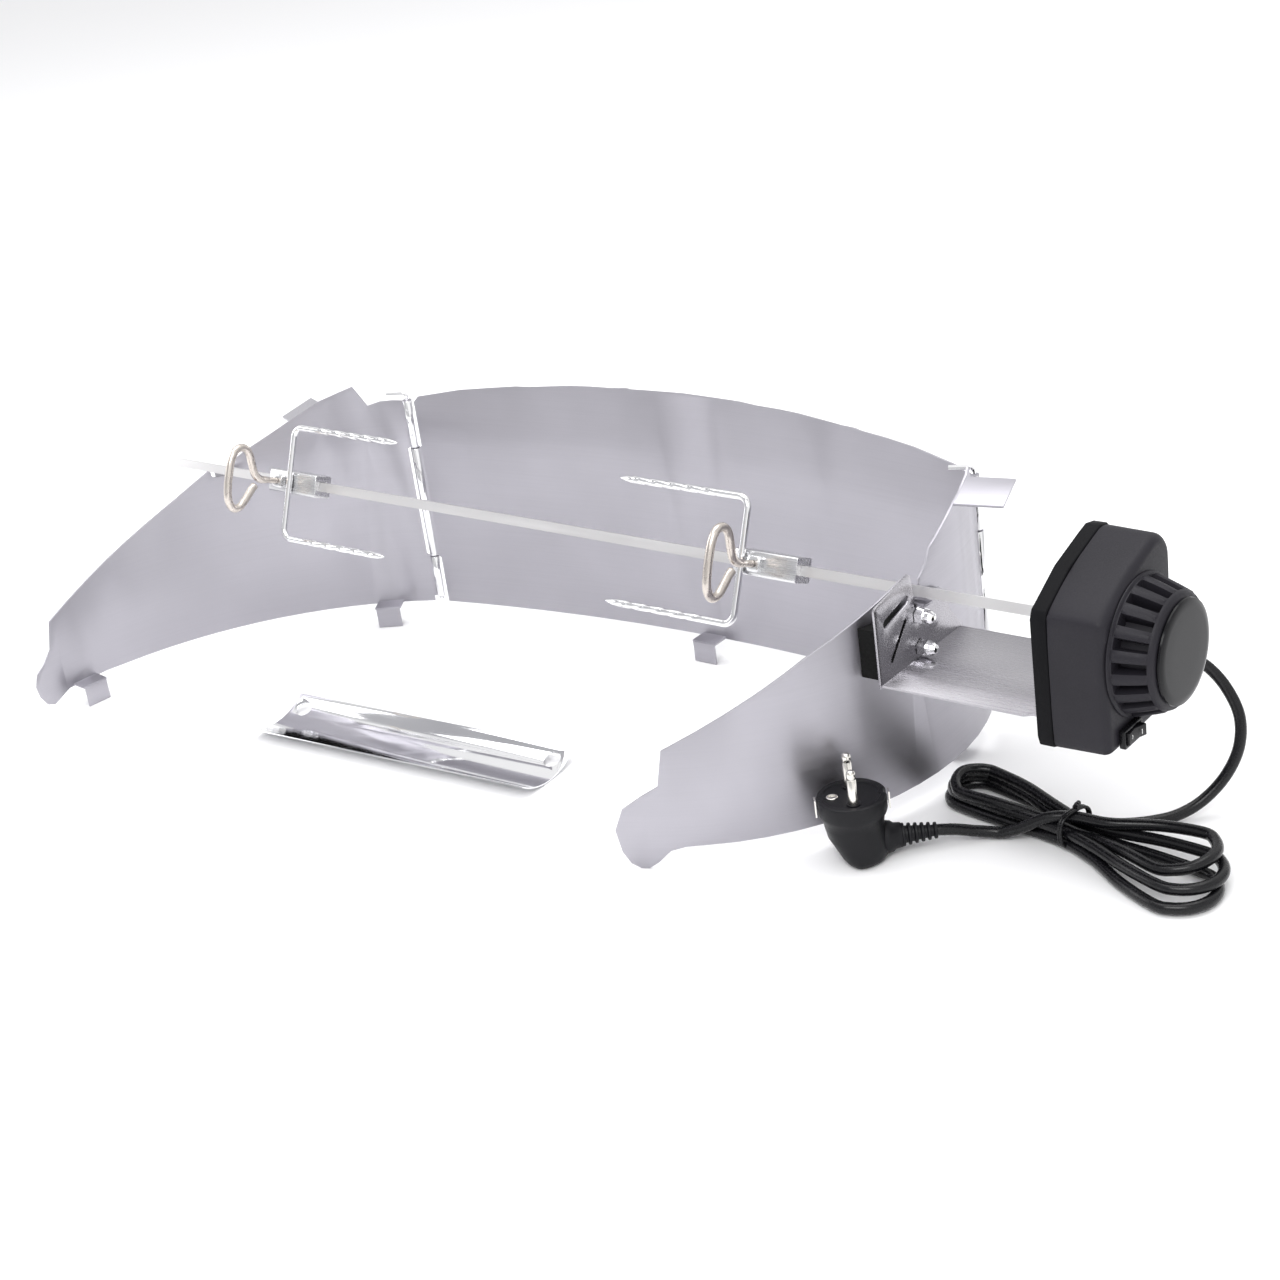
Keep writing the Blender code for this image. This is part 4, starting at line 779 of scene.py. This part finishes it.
def build_plug():
    """The plug: a waisted moulded body with a recessed face, side grooves and a cord neck."""
    rows = []
    shape = [(0.0002, 0.0138), (0.0012, 0.0152), (0.0035, 0.0166), (0.0080, 0.0164), (0.0140, 0.0158),
             (0.0200, 0.0152), (0.0240, 0.0158), (0.0262, 0.0172), (0.0280, 0.0177), (0.0345, 0.0179),
             (0.0354, 0.0176), (0.0358, 0.0170), (0.0358, 0.0150), (0.0352, 0.0143), (0.0352, 0.0060),
             (0.0352, 0.0015)]
    count = 72
    for z, r in shape:
        row = []
        for k in range(count):
            a = 2.0 * math.pi * k / count
            groove = 0.0
            if RIM_FROM <= z <= RIM_TO and r > 0.0140 and abs(math.sin(a)) > 0.988:
                groove = 0.0012
            flat = min(r - groove, 0.0174 / max(abs(math.cos(a)), 0.5))
            around = PIN_LINE * math.cos(a) + UPWARD.cross(PIN_LINE) * math.sin(a)
            behind = max(0.0, -around.dot(PLUG_EXIT))
            slant = 1.0 - 0.62 * behind * max(0.0, 1.0 - z / 0.0170)
            row.append(PLUG_MID + around * (flat * slant) + UPWARD * z)
        rows.append(row)
    finished("plug_body_moulding", skin(rows), "plug_black", "screen", ("plug_body",), 35.0)
    start = PLUG_MID + PLUG_EXIT * 0.0070 + UPWARD * CORD_HIGH
    neck = [(0.0, 0.0086), (0.0085, 0.0085), (0.0110, 0.0080), (0.0125, 0.0068), (0.0160, 0.0064)]
    finished("plug_neck", turned(start, PLUG_EXIT, neck, 40), "plug_black", "screen", (), 40.0)
    for sign in (-1.0, 1.0):
        socket = PLUG_MID + PIN_LINE * (sign * PIN_SPREAD) + UPWARD * 0.0350
        collar = [(0.0, 0.0036), (0.0008, 0.0036), (0.0010, 0.0034), (0.0010, 0.0026), (0.0, 0.0025)]
        finished("plug_pin_collar_%d" % (1 if sign > 0 else 2), turned(socket, UPWARD, collar, 32),
                 "plug_black", "screen", (), 35.0)
    hole = PLUG_MID + UPWARD.cross(PIN_LINE) * -0.0098 + UPWARD * 0.03515
    rim = [(0.0, 0.0030), (0.0007, 0.0030), (0.0009, 0.0027), (0.0009, 0.0021), (0.0003, 0.0019)]
    finished("plug_earth_socket", turned(hole, UPWARD, rim, 32), "plated_brass", "screen", (), 35.0)


def build_plug_relief():
    """Ribbed strain relief: round collars joined by a thinner core."""
    start = PLUG_MID + PLUG_EXIT * 0.0228 + UPWARD * CORD_HIGH
    profile = [(0.0, 0.0052)]
    for k in range(6):
        d = k * 0.0033
        r = 0.0060 - 0.00035 * k
        profile += [(d + 0.0002, r - 0.0003), (d + 0.0005, r), (d + 0.0015, r), (d + 0.0018, r - 0.0003),
                    (d + 0.0020, r - 0.0016), (d + 0.0032, r - 0.0016)]
    finished("plug_relief_ribs", turned(start, PLUG_EXIT, profile, 32), "plug_black", "screen",
             ("plug_strain_relief",), 35.0)


build_plug()
build_plug_relief()


def build_pin_sleeves():
    """Plug pins with a rounded nose and a fine turned ring."""
    for label, sign in (("front", 1.0), ("rear", -1.0)):
        base = PLUG_MID + PIN_LINE * (sign * PIN_SPREAD) + UPWARD * 0.0340
        profile = [(0.0, 0.00238), (0.0150, 0.00238), (0.0152, 0.00222), (0.0156, 0.00222), (0.0158, 0.00238),
                   (0.0185, 0.00238), (0.0196, 0.0020), (0.0201, 0.0014), (0.0203, 0.0007)]
        finished("plug_pin_" + label + "_turned", turned(base, UPWARD, profile, 32), "plated_brass", "screen",
                 ("plug_pin_" + label,), 40.0)


build_pin_sleeves()


TIE_R = 0.0009


def squared(value):
    """A sine or cosine pushed out so that a round turn becomes a rounded square one."""
    return math.copysign(abs(value) ** 0.7, value)


def build_tie():
    """A soft wire tie wound round the waist of the hank and twisted on top."""
    points = []
    for k in range(97):
        t = k / 96.0
        a = -math.pi / 2.0 + 4.0 * math.pi * t
        v = 0.0112 * squared(math.cos(a))
        z = 0.0098 + 0.0092 * squared(math.sin(a))
        points.append(in_hank(WAIST - 0.0016 + 0.0032 * t, v, max(z, TIE_R)))
    wound = tube(points, [TIE_R] * len(points), 10, HANK_ALONG)
    finished("cord_tie_wire", wound, "cord_black", "screen", ("cord_tie",), 60.0)
    tails = []
    for k in range(40):
        t = k / 39.0
        a = 6.0 * math.pi * t
        s = WAIST + TIE_R * math.cos(a) - 0.004 * t
        v = 0.0010 + 0.0070 * t + TIE_R * math.sin(a)
        tails.append(in_hank(s, v, 0.0198 + TIE_R * math.sin(a) - 0.0020 * t * t))
    finished("cord_tie_twist", tube(tails, [0.0008] * 40, 8, UPWARD), "cord_black", "screen", (), 60.0)


build_tie()


# -------------------------------------------------------------------- studio
def add_floor():
    """A pale paper floor, just under the part."""
    bm = bmesh.new()
    half = 7.0
    steps = 8
    rows = []
    for i in range(steps + 1):
        rows.append([bm.verts.new((-half + 2 * half * i / steps, -half + 2 * half * j / steps, -0.0004))
                     for j in range(steps + 1)])
    for i in range(steps):
        for j in range(steps):
            bm.faces.new((rows[i][j], rows[i + 1][j], rows[i + 1][j + 1], rows[i][j + 1]))
    mesh = bpy.data.meshes.new("floor")
    bm.to_mesh(mesh)
    bm.free()
    made = Nodes("floor_paper", (0.93, 0.93, 0.935), 0.9, 0.0)
    made.rough(made.noise(40.0), 0.85, 0.95)
    mesh.materials.append(made.mat)
    link("floor", mesh)


def add_area(name, place, target, size, power):
    """A rectangular lamp at place, facing target."""
    light = bpy.data.lights.new(name, "AREA")
    light.shape = "RECTANGLE"
    light.size = size[0]
    light.size_y = size[1]
    light.energy = power
    obj = link(name, light)
    obj.location = place
    obj.rotation_euler = (Vector(target) - Vector(place)).to_track_quat("-Z", "Y").to_euler()


def add_world():
    """A bright room with a few soft darker walls for the metal to mirror."""
    world = bpy.data.worlds.new("room")
    world.use_nodes = True
    tree = world.node_tree
    back = tree.nodes["Background"]
    coords = tree.nodes.new("ShaderNodeTexCoord")
    mapping = tree.nodes.new("ShaderNodeMapping")
    mapping.inputs["Scale"].default_value = (1.0, 1.0, 0.25)
    noise = tree.nodes.new("ShaderNodeTexNoise")
    noise.inputs["Scale"].default_value = 1.6
    noise.inputs["Detail"].default_value = 0.5
    ramp = tree.nodes.new("ShaderNodeValToRGB")
    ramp.color_ramp.elements[0].position = 0.40
    ramp.color_ramp.elements[0].color = (0.50, 0.50, 0.52, 1.0)
    ramp.color_ramp.elements[1].position = 0.56
    ramp.color_ramp.elements[1].color = (1.0, 1.0, 1.0, 1.0)
    tree.links.new(coords.outputs["Generated"], mapping.inputs["Vector"])
    tree.links.new(mapping.outputs["Vector"], noise.inputs["Vector"])
    tree.links.new(noise.outputs["Fac"], ramp.inputs["Fac"])
    tree.links.new(ramp.outputs["Color"], back.inputs["Color"])
    back.inputs["Strength"].default_value = 1.05
    bpy.context.scene.world = world
    bpy.context.scene.view_settings.view_transform = "Standard"


add_floor()
add_world()
add_area("key_light", (0.9, -1.6, 1.9), (0.0, 0.0, 0.08), (1.4, 1.0), 26.0)
add_area("top_light", (-0.2, 0.2, 2.2), (0.0, 0.0, 0.0), (2.4, 1.6), 34.0)
add_area("left_light", (-1.9, -0.5, 0.9), (0.0, 0.0, 0.08), (1.0, 1.2), 12.0)
